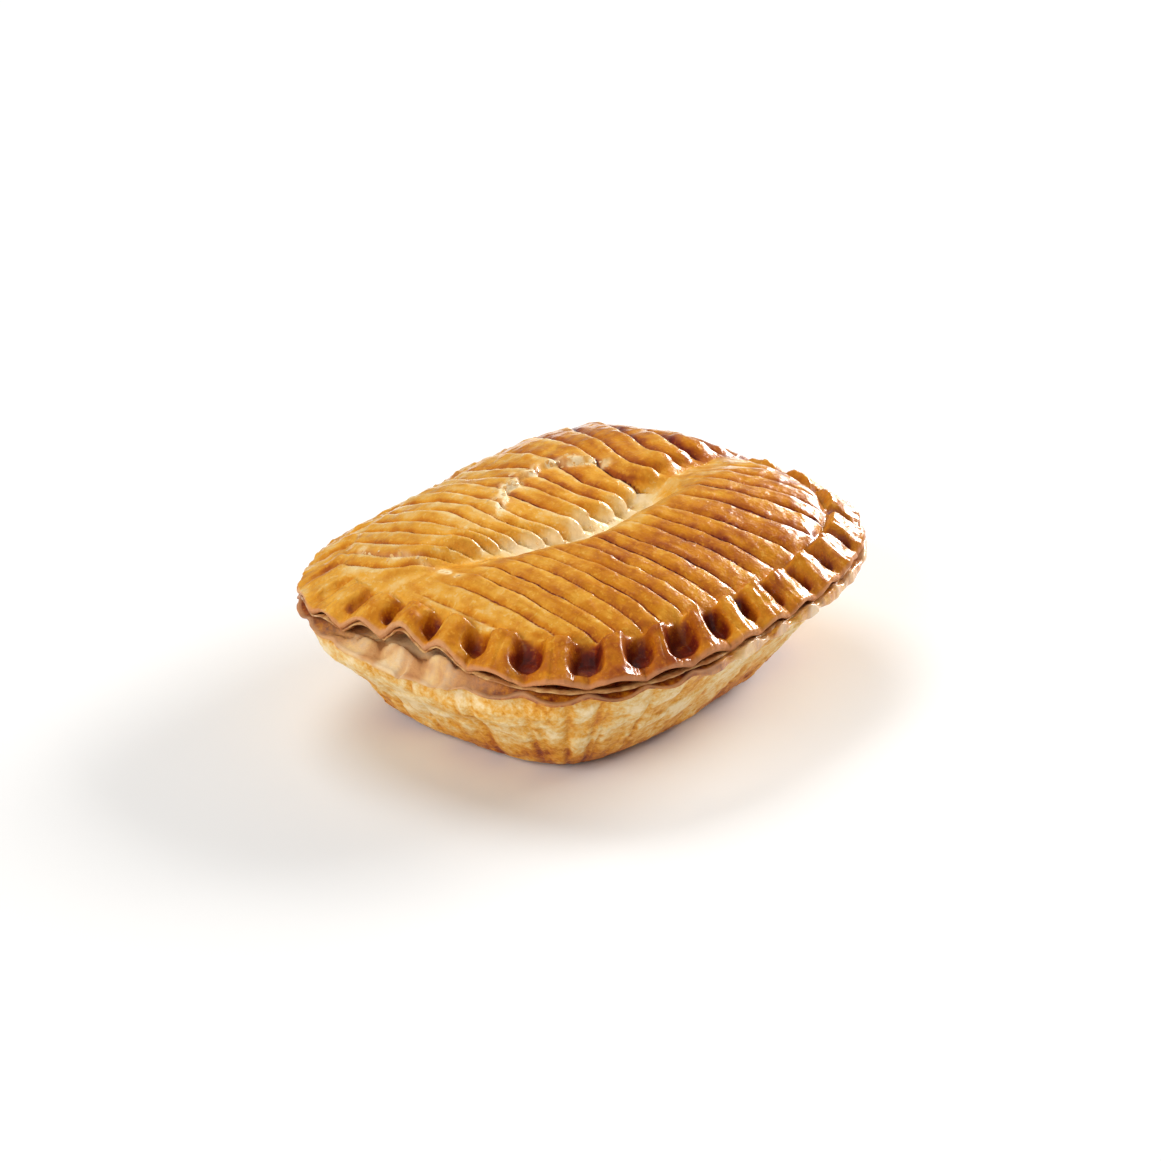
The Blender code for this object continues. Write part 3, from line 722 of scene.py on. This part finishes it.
def lid_sheet(u, v):
    """Points and finish values of the whole lid: top, rolled edge, and underside of the rim."""
    ring = np.maximum(np.abs(u), np.abs(v))
    angle = np.arctan2(HALF_WIDTH * v, HALF_LENGTH * u)
    rolled = LID_TOP_BAND + LID_ROLL_BAND
    top = unit(ring / LID_TOP_BAND)
    roll = unit((ring - LID_TOP_BAND) / LID_ROLL_BAND)
    under = unit((ring - rolled) / (1 - rolled))
    rag, small_rag = LID_RAGS
    ragged = rag * rim_grain(angle, "lid rags") + small_rag * rim_grain(angle, "lid small rags")
    scallop = rim_scallop(angle) + ragged
    reach = top * (1 + scallop * rise(0.8, 1, top))
    radius = outline_radius(angle) - 0.5 * LID_EDGE_THICKNESS
    flat = radius * ray(angle) * reach
    lid = Lid(flat, angle, top)
    bottom = lid_underside(angle)
    edge_top = Lid(flat, angle, np.ones_like(top)).height
    half = 0.5 * (edge_top - bottom)
    layers = 1 + 0.1 * np.sin(5 * pi * roll + 2 * rim_grain(angle, "lid layers"))
    swell = half * np.sin(pi * roll) * layers
    drop = half * (1 - np.cos(pi * roll))
    inward = under * (1 + scallop - SEAM_SHARE)
    grow = (reach - inward) / np.maximum(reach, 1e-9)
    flat = flat * grow + swell * ray(angle)
    z = np.where(roll > 0, edge_top - drop, lid.height)
    z = z + (SEAM_HEIGHT + SEAM_GAP - bottom) * rise(0, 1, under) * (under > 0)
    start = 0.16 - 0.12 * rim_lift(angle)
    stray = 0.12 * rim_grain(angle, "lid roll") * (roll > 0)
    edge = rise(start, start + 0.28, roll + stray)
    values = {
        "brown": lid.brown,
        "glaze": lid.glaze * (1 - 0.7 * edge),
        "torn": lid.torn * (1 - edge) + 0.12 * edge * rim_lift(angle),
        "edge": edge,
        "slash": lid.strip + lid.share,
        "cut": lid.strips * (1 - lid.band) * (1 - edge) * lid.cut_strength,
        "reach": lid.reach,
        "flaky": lid.flaky * (1 - edge),
    }
    return place_points(flat, z), values


def outline_normal(angle):
    """Direction straight out from the outline at each angle."""
    step = NORMAL_STEP
    before = outline_radius(angle - step) * ray(angle - step)
    run_x, run_y = outline_radius(angle + step) * ray(angle + step) - before
    return np.stack([run_y, -run_x]) / np.hypot(run_x, run_y)


def wall_inset(z):
    """How far the case's wall stands in from the outline at a height."""
    rounding = unit(1 - z / BASE_RADIUS)
    foot = BASE_RADIUS * (1 - np.sqrt(1 - rounding**2))
    return WALL_TAPER * (1 - z / WALL_TOP_HEIGHT) + foot


def pleat(angle):
    """Narrow upright creases at uneven places round the wall."""
    share = rim_share(angle)
    turn = PLEATS * share + PLEAT_SWING * np.sin(10 * pi * share + 1)
    strength = 0.35 + 0.65 * scatter(np.floor(turn + 0.5))
    from_crease = np.abs(np.mod(turn + 0.5, 1) - 0.5)
    creases = strength * bell(from_crease, PLEAT_WIDTH)
    for place in WALL_CREASES:
        creases = np.maximum(creases, 1.3 * bell(share - place, WALL_CREASE_WIDTH))
    return creases


def wall_bulge(angle, wall):
    """How far the wall stands out past its plain slope."""
    low = LOW_BULGE["depth"] * rim_bell(angle, LOW_BULGE) * rise(0, 0.25, wall)
    level = bell(wall - HIGH_BULGE["level"], HIGH_BULGE["height"])
    high = HIGH_BULGE["depth"] * rim_bell(angle, HIGH_BULGE) * level * rise(0, 0.08, wall)
    lip_side = np.where(wall > LIP["level"], LIP["height"], 2 * LIP["height"])
    return low + high + LIP["depth"] * rim_bell(angle, LIP) * bell(wall - LIP["level"], lip_side)


def case_sheet(u, v):
    """Points and finish values of the case, from the seam under the lid down to the flat base."""
    turn = 0.5 * (u + 1)
    passed = 0.5 * (v + 1)
    angle = pi * (2 * turn - 1)
    out = outline_normal(angle)
    rolled = FLANGE_BAND + FLANGE_ROLL_BAND
    flange = unit(passed / FLANGE_BAND)
    roll = unit((passed - FLANGE_BAND) / FLANGE_ROLL_BAND)
    wall = unit((passed - rolled) / (1 - rolled))
    on_wall = wall > 0
    lift, sag, arch = rim_lift(angle), rim_bell(angle, SAG), crimp_arch(angle)
    rag, small_rag = CASE_RAGS
    ragged = rag * rim_grain(angle, "case rags") + small_rag * rim_grain(angle, "case small rags")
    lobe = FLANGE_LOBE * arch * (1 - back_side(angle)) * (1 - lift)
    notch = FLANGE_NOTCH * crimp_shape(angle)[0]
    uneven = (lobe - notch) * fade(0.2, 0.8, np.cos(angle))
    rim = 1 + FLANGE_OVERHANG + uneven + np.minimum(ragged, MOST_CASE_RAG)
    reach = mixed(FLANGE_INNER_SHARE, rim, flange)
    top = flange_top(angle, reach)
    wave = FLANGE_WAVE * np.sin(2 * pi * FLANGE_WAVES * rim_share(angle))
    half = 0.5 * FLANGE_THICKNESS
    droop = FLANGE_DROOP * arch * (1 - lift)
    wall_top = SEAM_HEIGHT - FLANGE_THICKNESS + wave - SAG_DEPTH * sag - 0.6 * droop
    drop = 0.5 * (top - wall_top) * (1 - np.cos(pi * roll))
    wall_height = wall_top * (1 - wall)
    creases = pleat(angle)
    inset = wall_inset(wall_height) + PLEAT_DEPTH * creases * np.sin(pi * wall) ** 0.5
    inset = inset - (1 - wall) ** 2 * wall_inset(wall_top) * WALL_SWELL - wall_bulge(angle, wall)
    outline = outline_radius(angle)
    radius = outline - half
    flat = radius * ray(angle) * reach + out * half * np.sin(pi * roll)
    below = np.where(on_wall, 1, rise(0.55, 1, roll))
    flat = mixed(flat, outline * ray(angle) - out * inset, below)
    z = np.where(on_wall, wall_height, top - drop)
    points = np.stack([*flat, z], axis=-1)

    # Folded pads under the lifted lid
    on_pads = unit(1.7 * lift) * fade(0.2, 0.8, roll) * rise(0.88, 0.93, reach) * ~on_wall
    folds = np.abs(rim_grain(angle, "pad folds", 14 * reach))
    folds = folds + 0.4 * np.abs(rim_grain(angle, "pad small folds", 30 * reach))
    z = z - PAD_FOLD_DEPTH * on_pads * (1 - unit(2.2 * folds))

    # Flaky layers on the wall, and the thick crinkled edge at the right front
    upright = rise(0, 0.06, wall) * fade(0.94, 1, wall)
    flakes = grain(points * np.array([1, 1, 0.8]), "case flakes")
    flaked = rise(0.02, 0.12, flakes)
    wall_relief = added_up(WALL_RELIEF, {
        "lumps": grain(points, "case lumps"), "small lumps": grain(points, "case small lumps"),
        "flakes": flaked, "thick flakes": rise(0.3, 0.38, flakes), "plain": 1,
    })
    puffed = right_front(angle) * rise(0.55, 1, flange) * fade(0, 0.16, wall)
    crinkle = grain(points, "crinkle")
    puff_relief = added_up(PUFF_RELIEF, {"plain": 1, "crinkle": crinkle})
    push = wall_relief * upright * (1 - puffed) + puffed * puff_relief
    room = lid_underside(angle) - FLANGE_GAP - top
    room = puffed * ~on_wall * fade(0, 0.9, roll) * room
    z = z + room * (0.85 + 0.3 * crinkle)
    flat = flat + out * push

    # How the case is baked, with painted shade in its creases, at its foot and between the pads,
    # and painted sheen on its crinkled edge
    warm = rise(-0.03, 0.05, 0.75 * flat[0] - 0.65 * flat[1])
    # Pink-brown along the pads' folds and between the pads: partly browned dough edges, partly
    # painted shade in the creases
    between = fade(0.25, 0.75, arch)
    pink_and_shade = on_pads * np.maximum(0.9 * (1 - unit(2.4 * folds)), between)
    brown = added_up(CASE_BAKE_AND_SHADE, {
        "plain": 1, "patches": grain(points, "case patches"),
        # Painted shade in the wall's creases
        "specks": grain(points, "case specks"), "creases": creases * upright,
        # Darker towards the foot: partly a browner base, partly painted shade and painted warm
        # bounce light
        "flakes": flaked * upright, "foot": rise(0.5, 1, wall),
        "top": fade(0, 0.14, wall), "right": warm,
        "edge": (1 - lift) * fade(0.3, 1, roll) * (1 - 0.8 * puffed),
    })
    edge = rise(0.94, 1, flange) * fade(0.15, 0.6, roll) * (1 - 0.3 * lift) * (1 - puffed)
    pale = 0.8 * lift * fade(0.2, 0.9, roll) * (1 - pink_and_shade)
    glaze = 0.25 * (1 - lift) * fade(0.4, 1, roll) + 0.05 + 0.8 * puffed
    # Paler on the thick crinkled edge: partly pale dough, partly painted sheen on the crinkles
    torn = pale + puffed * (0.16 + 0.9 * crinkle)
    values = {"brown": brown, "glaze": glaze, "torn": torn, "edge": edge + pink_and_shade}
    values = {key: unit(value) for key, value in values.items()}
    return place_points(flat, z), values


def pastry_sheet(name, cells, shape, material):
    """A grid bent into the given shape, with its finish values stored at its points."""
    bm = bmesh.new()
    bmesh.ops.create_grid(bm, x_segments=cells[0], y_segments=cells[1], size=1)
    mesh = bpy.data.meshes.new(name)
    bm.to_mesh(mesh)
    bm.free()
    grid = np.empty(len(mesh.vertices) * 3)
    mesh.vertices.foreach_get("co", grid)
    grid = grid.reshape(-1, 3)
    points, values = shape(grid[:, 0], grid[:, 1])
    mesh.vertices.foreach_set("co", np.clip(points, *CAD_BOX).ravel())
    for key, value in values.items():
        attribute = mesh.attributes.new(key, "FLOAT", "POINT")
        attribute.data.foreach_set("value", value.astype(np.float32))
    close_sheet(mesh)
    mesh.materials.append(material)
    return add_object(name, mesh)


def add_object(name, data):
    made = bpy.data.objects.new(name, data)
    bpy.context.scene.collection.objects.link(made)
    return made


def close_sheet(mesh):
    """Joins the points that meet, fills each flat hole and turns the faces out."""
    bm = bmesh.new()
    bm.from_mesh(mesh)
    bmesh.ops.remove_doubles(bm, verts=bm.verts, dist=WELD_DISTANCE)
    bmesh.ops.holes_fill(bm, edges=bm.edges, sides=0)
    bmesh.ops.recalc_face_normals(bm, faces=bm.faces)
    for face in bm.faces:
        face.smooth = len(face.verts) < 5
    bm.to_mesh(mesh)
    bm.free()


class Wire:
    """A node's output that takes part in plain arithmetic."""

    def __init__(self, owner, socket):
        self.owner = owner
        self.socket = socket

    def math(self, operation, *values, clamp=False):
        settings = {"operation": operation, "use_clamp": clamp}
        return self.owner.node("ShaderNodeMath", dict(enumerate(values)), settings)

    def __add__(self, other):
        return self.math("ADD", self, other)

    __radd__ = __add__

    def __sub__(self, other):
        return self.math("SUBTRACT", self, other)

    def __rsub__(self, other):
        return self.math("SUBTRACT", other, self)

    def __mul__(self, other):
        return self.math("MULTIPLY", self, other)

    __rmul__ = __mul__

    def vector(self, operation, others):
        settings = {"operation": operation}
        return self.owner.node("ShaderNodeVectorMath", {0: self, **others}, settings)

    def from_whole(self):
        """Distance from the nearest whole number."""
        return self.math("PINGPONG", self, 0.5)

    def clamped(self):
        return self.math("ADD", self, 0, clamp=True)

    def between(self, low, high):
        """The same as rise."""
        settings = {"interpolation_type": "SMOOTHSTEP"}
        return self.owner.node("ShaderNodeMapRange", {0: self, 1: low, 2: high}, settings)

    def sibling(self, output):
        """Another output of the same node."""
        return Wire(self.owner, self.socket.node.outputs[output])


class Tree:
    """A node tree under construction."""

    def node(self, kind, inputs=None, settings=None, output=0):
        """Any node with its sockets' inputs and its settings, a ramp's stops among them."""
        made = self.tree.nodes.new(kind)
        for key, value in (settings or {}).items():
            if key == "stops":
                self.set_stops(made.color_ramp, value)
            else:
                setattr(made, key, value)
        for key, value in (inputs or {}).items():
            self.feed(made.inputs[key], value)
        return Wire(self, made.outputs[output])

    def set_stops(self, ramp, stops):
        while len(ramp.elements) < len(stops):
            ramp.elements.new(1)
        for element, (position, color) in zip(ramp.elements, stops):
            element.position = position
            element.color = (*color, 1)

    def feed(self, socket, value):
        if isinstance(value, Wire):
            self.tree.links.new(value.socket, socket)
        else:
            socket.default_value = value


class Finish(Tree):
    """A material."""

    def __init__(self, name):
        self.material = bpy.data.materials.new(name)
        self.material.use_nodes = True
        self.tree = self.material.node_tree
        self.shader = self.tree.nodes["Principled BSDF"]
        self.place = self.node("ShaderNodeTexCoord", output="Object")

    def set(self, **values):
        for key, value in values.items():
            self.feed(self.shader.inputs[key.replace("_", " ")], value)

    def set_bump(self, height, strength, distance):
        inputs = {"Strength": strength, "Distance": distance, "Height": height}
        self.set(Normal=self.node("ShaderNodeBump", inputs))

    def value(self, name):
        return self.node("ShaderNodeAttribute", None, {"attribute_name": name}, "Fac")

    def noise(self, lump, detail=3, roughness=0.5):
        """Noise with lumps of about this many metres, from 0 to 1."""
        inputs = {"Vector": self.place, "Scale": 1 / lump, "Detail": detail, "Roughness": roughness}
        return self.node("ShaderNodeTexNoise", inputs)

    def mix(self, factor, one, other, blend="MIX"):
        settings = {"data_type": "RGBA", "blend_type": blend}
        return self.node("ShaderNodeMix", {0: factor, 6: one, 7: other}, settings, 2)


class Growth(Tree):
    """Geometry nodes that grow something on a base mesh, with their sizes as named inputs."""

    def __init__(self, name, sizes):
        self.tree = bpy.data.node_groups.new(name, "GeometryNodeTree")
        sides = self.tree.interface
        for side in ("INPUT", "OUTPUT"):
            sides.new_socket("Geometry", in_out=side, socket_type="NodeSocketGeometry")
        self.values = {}
        for size, value in sizes.items():
            socket = sides.new_socket(size, in_out="INPUT", socket_type="NodeSocketFloat")
            self.values[socket.identifier] = value
        self.entry = self.tree.nodes.new("NodeGroupInput")
        self.exit = self.tree.nodes.new("NodeGroupOutput")

    def size(self, name):
        return Wire(self, self.entry.outputs[name])

    def finish(self, geometry, material):
        real = self.node("GeometryNodeRealizeInstances", {0: geometry})
        real = self.node("GeometryNodeSetMaterial", {0: real, 2: material})
        self.feed(self.exit.inputs[0], real)

    def grow(self, name, base):
        """A plain mesh object grown on the base, which stays as it was."""
        modifier = base.modifiers.new("growth", "NODES")
        modifier.node_group = self.tree
        for identifier, value in self.values.items():
            modifier[identifier] = value
        graph = bpy.context.evaluated_depsgraph_get()
        mesh = bpy.data.meshes.new_from_object(base.evaluated_get(graph))
        base.modifiers.remove(modifier)
        return add_object(name, mesh)


def leaf_layer(material):
    """A thin wavy ribbon that follows a path round the rim."""
    sizes = {"Width": LEAF_WIDTH, "Thickness": LEAF_THICKNESS, "Ripple": LEAF_RIPPLE}
    growth = Growth("leaf_layer", sizes)
    path = growth.node("GeometryNodeMeshToCurve", {0: growth.size("Geometry")})
    inputs = {"Scale": LEAF_RIPPLE_SCALE, "Detail": 2}
    ripple = growth.node("ShaderNodeTexNoise", inputs, output="Color")
    ripple = ripple.vector("SUBTRACT", {1: (0.5, 0.5, 0.5)})
    ripple = ripple.vector("SCALE", {"Scale": growth.size("Ripple")})
    path = growth.node("GeometryNodeSetPosition", {0: path, "Offset": ripple})
    path = growth.node("GeometryNodeSetCurveNormal", {0: path}, {"mode": "Z_UP"})
    sides = {"Width": growth.size("Width"), "Height": growth.size("Thickness")}
    outline = growth.node("GeometryNodeCurvePrimitiveQuadrilateral", sides)
    ribbon = growth.node("GeometryNodeCurveToMesh", {0: path, 1: outline, "Fill Caps": True})
    growth.finish(ribbon, material)
    return growth


def loose_flakes(material):
    """Small thin flakes lying on a surface, as dense as its value named flaky says."""
    growth = Growth("loose_flakes", {"Density": LID_FLAKES, "Size": LID_FLAKE_SIZE})
    settings = {"data_type": "FLOAT"}
    flaky = growth.node("GeometryNodeInputNamedAttribute", {"Name": "flaky"}, settings)
    density = flaky * growth.size("Density")
    inputs = {0: growth.size("Geometry"), "Density": density, "Seed": FLAKE_SEED}
    points = growth.node("GeometryNodeDistributePointsOnFaces", inputs)
    settings = {"data_type": "FLOAT_VECTOR"}
    inputs = {0: LEAST_FLAKE, 1: LARGEST_FLAKE, "Seed": FLAKE_SEED + 1}
    shape = growth.node("FunctionNodeRandomValue", inputs, settings)
    shape = shape.vector("SCALE", {"Scale": growth.size("Size")})
    least, most = (-FLAKE_TILT, -FLAKE_TILT, 0), (FLAKE_TILT, FLAKE_TILT, 6.3)
    inputs = {0: least, 1: most, "Seed": FLAKE_SEED + 2}
    turn = growth.node("FunctionNodeRandomValue", inputs, settings)
    turn = growth.node("FunctionNodeEulerToRotation", {0: turn})
    rotation = {"Rotation": points.sibling("Rotation"), "Rotate By": turn}
    turn = growth.node("FunctionNodeRotateRotation", rotation, {"rotation_space": "LOCAL"})
    flake = growth.node("GeometryNodeMeshIcoSphere", {"Radius": 1, "Subdivisions": 1})
    inputs = {"Points": points, "Instance": flake, "Rotation": turn, "Scale": shape}
    growth.finish(growth.node("GeometryNodeInstanceOnPoints", inputs), material)
    return growth


def make_leaf(material):
    """The leaf of dough between the case's edge and the lid's, grown on a line round the rim."""
    angle = np.linspace(-pi, pi, LEAF_POINTS, endpoint=False)
    reach = 1 + rim_scallop(angle) - LEAF_INSET + LEAF_STRAY * rim_grain(angle, "leaf course")
    share = LEAF_LEVEL + LEAF_LEVEL_STRAY * rim_grain(angle, "leaf level")
    low = flange_top(angle, reach)
    z = low + (lid_underside(angle) - low) * share
    radius = (outline_radius(angle) - 0.5 * LEAF_WIDTH) * reach
    points = place_points(radius * ray(angle), z)
    mesh = bpy.data.meshes.new("leaf_path")
    mesh.from_pydata(points.tolist(), [(i, (i + 1) % LEAF_POINTS) for i in range(LEAF_POINTS)], [])
    path = add_object("leaf_path", mesh)
    leaf = leaf_layer(material).grow("rim_leaf_1", path)
    bpy.data.objects.remove(path, do_unlink=True)
    return leaf


# Colours of baked dough, from pale to nearly black
CRUST = (
    (0, (0.88, 0.7, 0.42)),
    (0.16, (0.81, 0.57, 0.23)),
    (0.34, (0.75, 0.365, 0.04)),
    (0.5, (0.6, 0.215, 0.008)),
    (0.66, (0.4, 0.1, 0.005)),
    (0.82, (0.19, 0.02, 0.006)),
    (1, (0.06, 0.005, 0.004)),
)
TORN = (0.88, 0.74, 0.48, 1)
BAKED_EDGE = (0.56, 0.24, 0.11, 1)
CASE_EDGE = (0.58, 0.29, 0.13, 1)
FLAKE_COLORS = ((0.8, 0.6, 0.32, 1), (0.7, 0.38, 0.1, 1))
LEAF_COLORS = ((0.66, 0.38, 0.14, 1), (0.42, 0.16, 0.045, 1))
DOUGH_IOR = 1.45


def lid_finish():
    """Egg-glazed dough with painted shade as a darker line along each slash, streaks and small pale
    blisters.
    """
    finish = Finish("glazed_pastry")
    names = ("brown", "glaze", "torn", "edge", "slash", "cut", "reach")
    brown, glaze, torn, edge, slash, cut, reach = (finish.value(name) for name in names)
    coarse = finish.noise(0.004, 3, 0.5)
    fine = finish.noise(0.0011, 2, 0.5)
    speck = finish.noise(0.00045, 2)
    along = finish.node("ShaderNodeCombineXYZ", {0: slash * 3, 1: reach * 90, 2: 0})
    streak = finish.node("ShaderNodeTexNoise", {"Vector": along, "Scale": 1.6, "Detail": 3})
    # Painted shade: a darker line along each slash
    line = (1 - (slash + 0.1 * (fine - 0.5)).from_whole().between(0.012, 0.06)) * cut
    streaky = (streak - 0.5) * cut.between(0, 0.5)
    blistered = fine.between(0.56, 0.68)
    level = brown + 0.5 * (coarse - 0.5) + 0.16 * (fine - 0.5) + 0.22 * streaky + 0.3 * line
    level = level - 0.12 * blistered * (1 - edge)
    color = finish.node("ShaderNodeValToRGB", {0: level.clamped()}, {"stops": CRUST})
    color = finish.mix(edge * 0.75, color, BAKED_EDGE)
    color = finish.mix((torn * (0.55 + 0.9 * fine)).clamped(), color, TORN)
    finish.set(Base_Color=color)
    finish.set(Roughness=(0.48 - 0.16 * glaze + 0.25 * torn + 0.2 * (fine - 0.5)).clamped())
    patchy = 0.5 + 0.6 * coarse.between(0.35, 0.65) + 0.5 * blistered
    finish.set(Coat_Weight=(glaze * patchy - torn - edge * 0.3).clamped(), Coat_Roughness=0.11)
    finish.set(IOR=DOUGH_IOR, Specular_IOR_Level=0.3)
    bumps = 1.1 * coarse + 0.36 * fine + 0.05 * speck + 0.22 * streaky - 0.5 * line
    finish.set_bump(bumps, strength=0.8, distance=0.0007)
    return finish.material


def case_finish():
    """Plain baked dough in light and dark patches."""
    finish = Finish("baked_pastry")
    brown, glaze, torn, edge = (finish.value(name) for name in ("brown", "glaze", "torn", "edge"))
    coarse = finish.noise(0.005, 4, 0.6)
    fine = finish.noise(0.001, 4, 0.65)
    level = brown + 0.6 * (coarse - 0.5) + 0.7 * (fine - 0.5)
    color = finish.node("ShaderNodeValToRGB", {0: level.clamped()}, {"stops": CRUST})
    color = finish.mix(edge * 0.8, color, CASE_EDGE)
    color = finish.mix((torn * (0.4 + 0.9 * fine)).clamped(), color, TORN)
    finish.set(Base_Color=color, Roughness=(0.62 - 0.2 * glaze + 0.2 * (fine - 0.5)).clamped())
    finish.set(Coat_Weight=glaze.clamped(), Coat_Roughness=0.22, IOR=DOUGH_IOR)
    bumps = 0.6 * coarse + 0.4 * fine
    finish.set_bump(bumps, strength=0.7, distance=0.0008)
    return finish.material


def plain_finish(name, shade, colors, **values):
    """Dough without a pattern, in patches between two colours."""
    finish = Finish(name)
    finish.set(Base_Color=finish.mix(finish.noise(*shade[:2]).between(*shade[2:]), *colors))
    finish.set(Roughness=0.5, **values)
    return finish.material


def flake_finish():
    return plain_finish("dry_flakes", (0.003, 2, 0.35, 0.65), FLAKE_COLORS, Coat_Weight=0.3)


def leaf_finish():
    gloss = {"Coat_Weight": 0.4, "Coat_Roughness": 0.2}
    return plain_finish("dough_leaves", (0.0022, 3, 0.35, 0.62), LEAF_COLORS, **gloss)


def aim(obj, target):
    obj.rotation_euler = (Vector(target) - obj.location).to_track_quat("-Z", "Y").to_euler()


def add_light(name, place, size, power, color, reflected):
    """A rectangular light that either lights the dough or shows only as a reflection."""
    data = bpy.data.lights.new(name, "AREA")
    data.shape = "RECTANGLE"
    data.size, data.size_y = size
    data.energy = power
    data.color = color
    light = add_object(name, data)
    light.location = place
    light.visible_glossy = reflected
    light.visible_diffuse = not reflected
    aim(light, LIGHT_AIM)


def add_stage():
    """Plain pale floor, soft light and the camera."""
    scene = bpy.context.scene
    bpy.ops.mesh.primitive_plane_add(size=FLOOR_SIZE, location=(0, 0, 0))
    floor = bpy.context.object
    floor.name = "floor"
    finish = Finish("pale_floor")
    finish.set(Base_Color=FLOOR_COLOR, Roughness=0.9)
    floor.data.materials.append(finish.material)
    world = bpy.data.worlds.new("studio")
    world.use_nodes = True
    room = world.node_tree.nodes["Background"].inputs
    room["Color"].default_value = ROOM_COLOR
    room["Strength"].default_value = ROOM_STRENGTH
    scene.world = world
    for light in LIGHTS:
        add_light(*light)
    data = bpy.data.cameras.new("camera")
    data.lens = LENS
    data.sensor_width = SENSOR
    data.dof.use_dof = False
    camera = add_object("camera", data)
    camera.location = CAMERA_PLACE
    aim(camera, CAMERA_AIM)
    scene.camera = camera
    scene.view_settings.view_transform = "Standard"


def main():
    add_stage()
    lid = pastry_sheet("lid_crust", LID_CELLS, lid_sheet, lid_finish())
    case = pastry_sheet("case_crust", CASE_CELLS, case_sheet, case_finish())
    lid_flakes = loose_flakes(flake_finish()).grow("lid_flakes", lid)
    leaf = make_leaf(leaf_finish())
    for piece, slot in ((lid_flakes, "glazed_pastry"), (leaf, "baked_pastry")):
        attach(piece, "root")
    crusts = ((lid, "pastry_lid", "glazed_pastry"), (case, "pie_case", "baked_pastry"))
    for piece, node, slot in crusts:
        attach(piece, "root")
        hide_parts(node)


main()
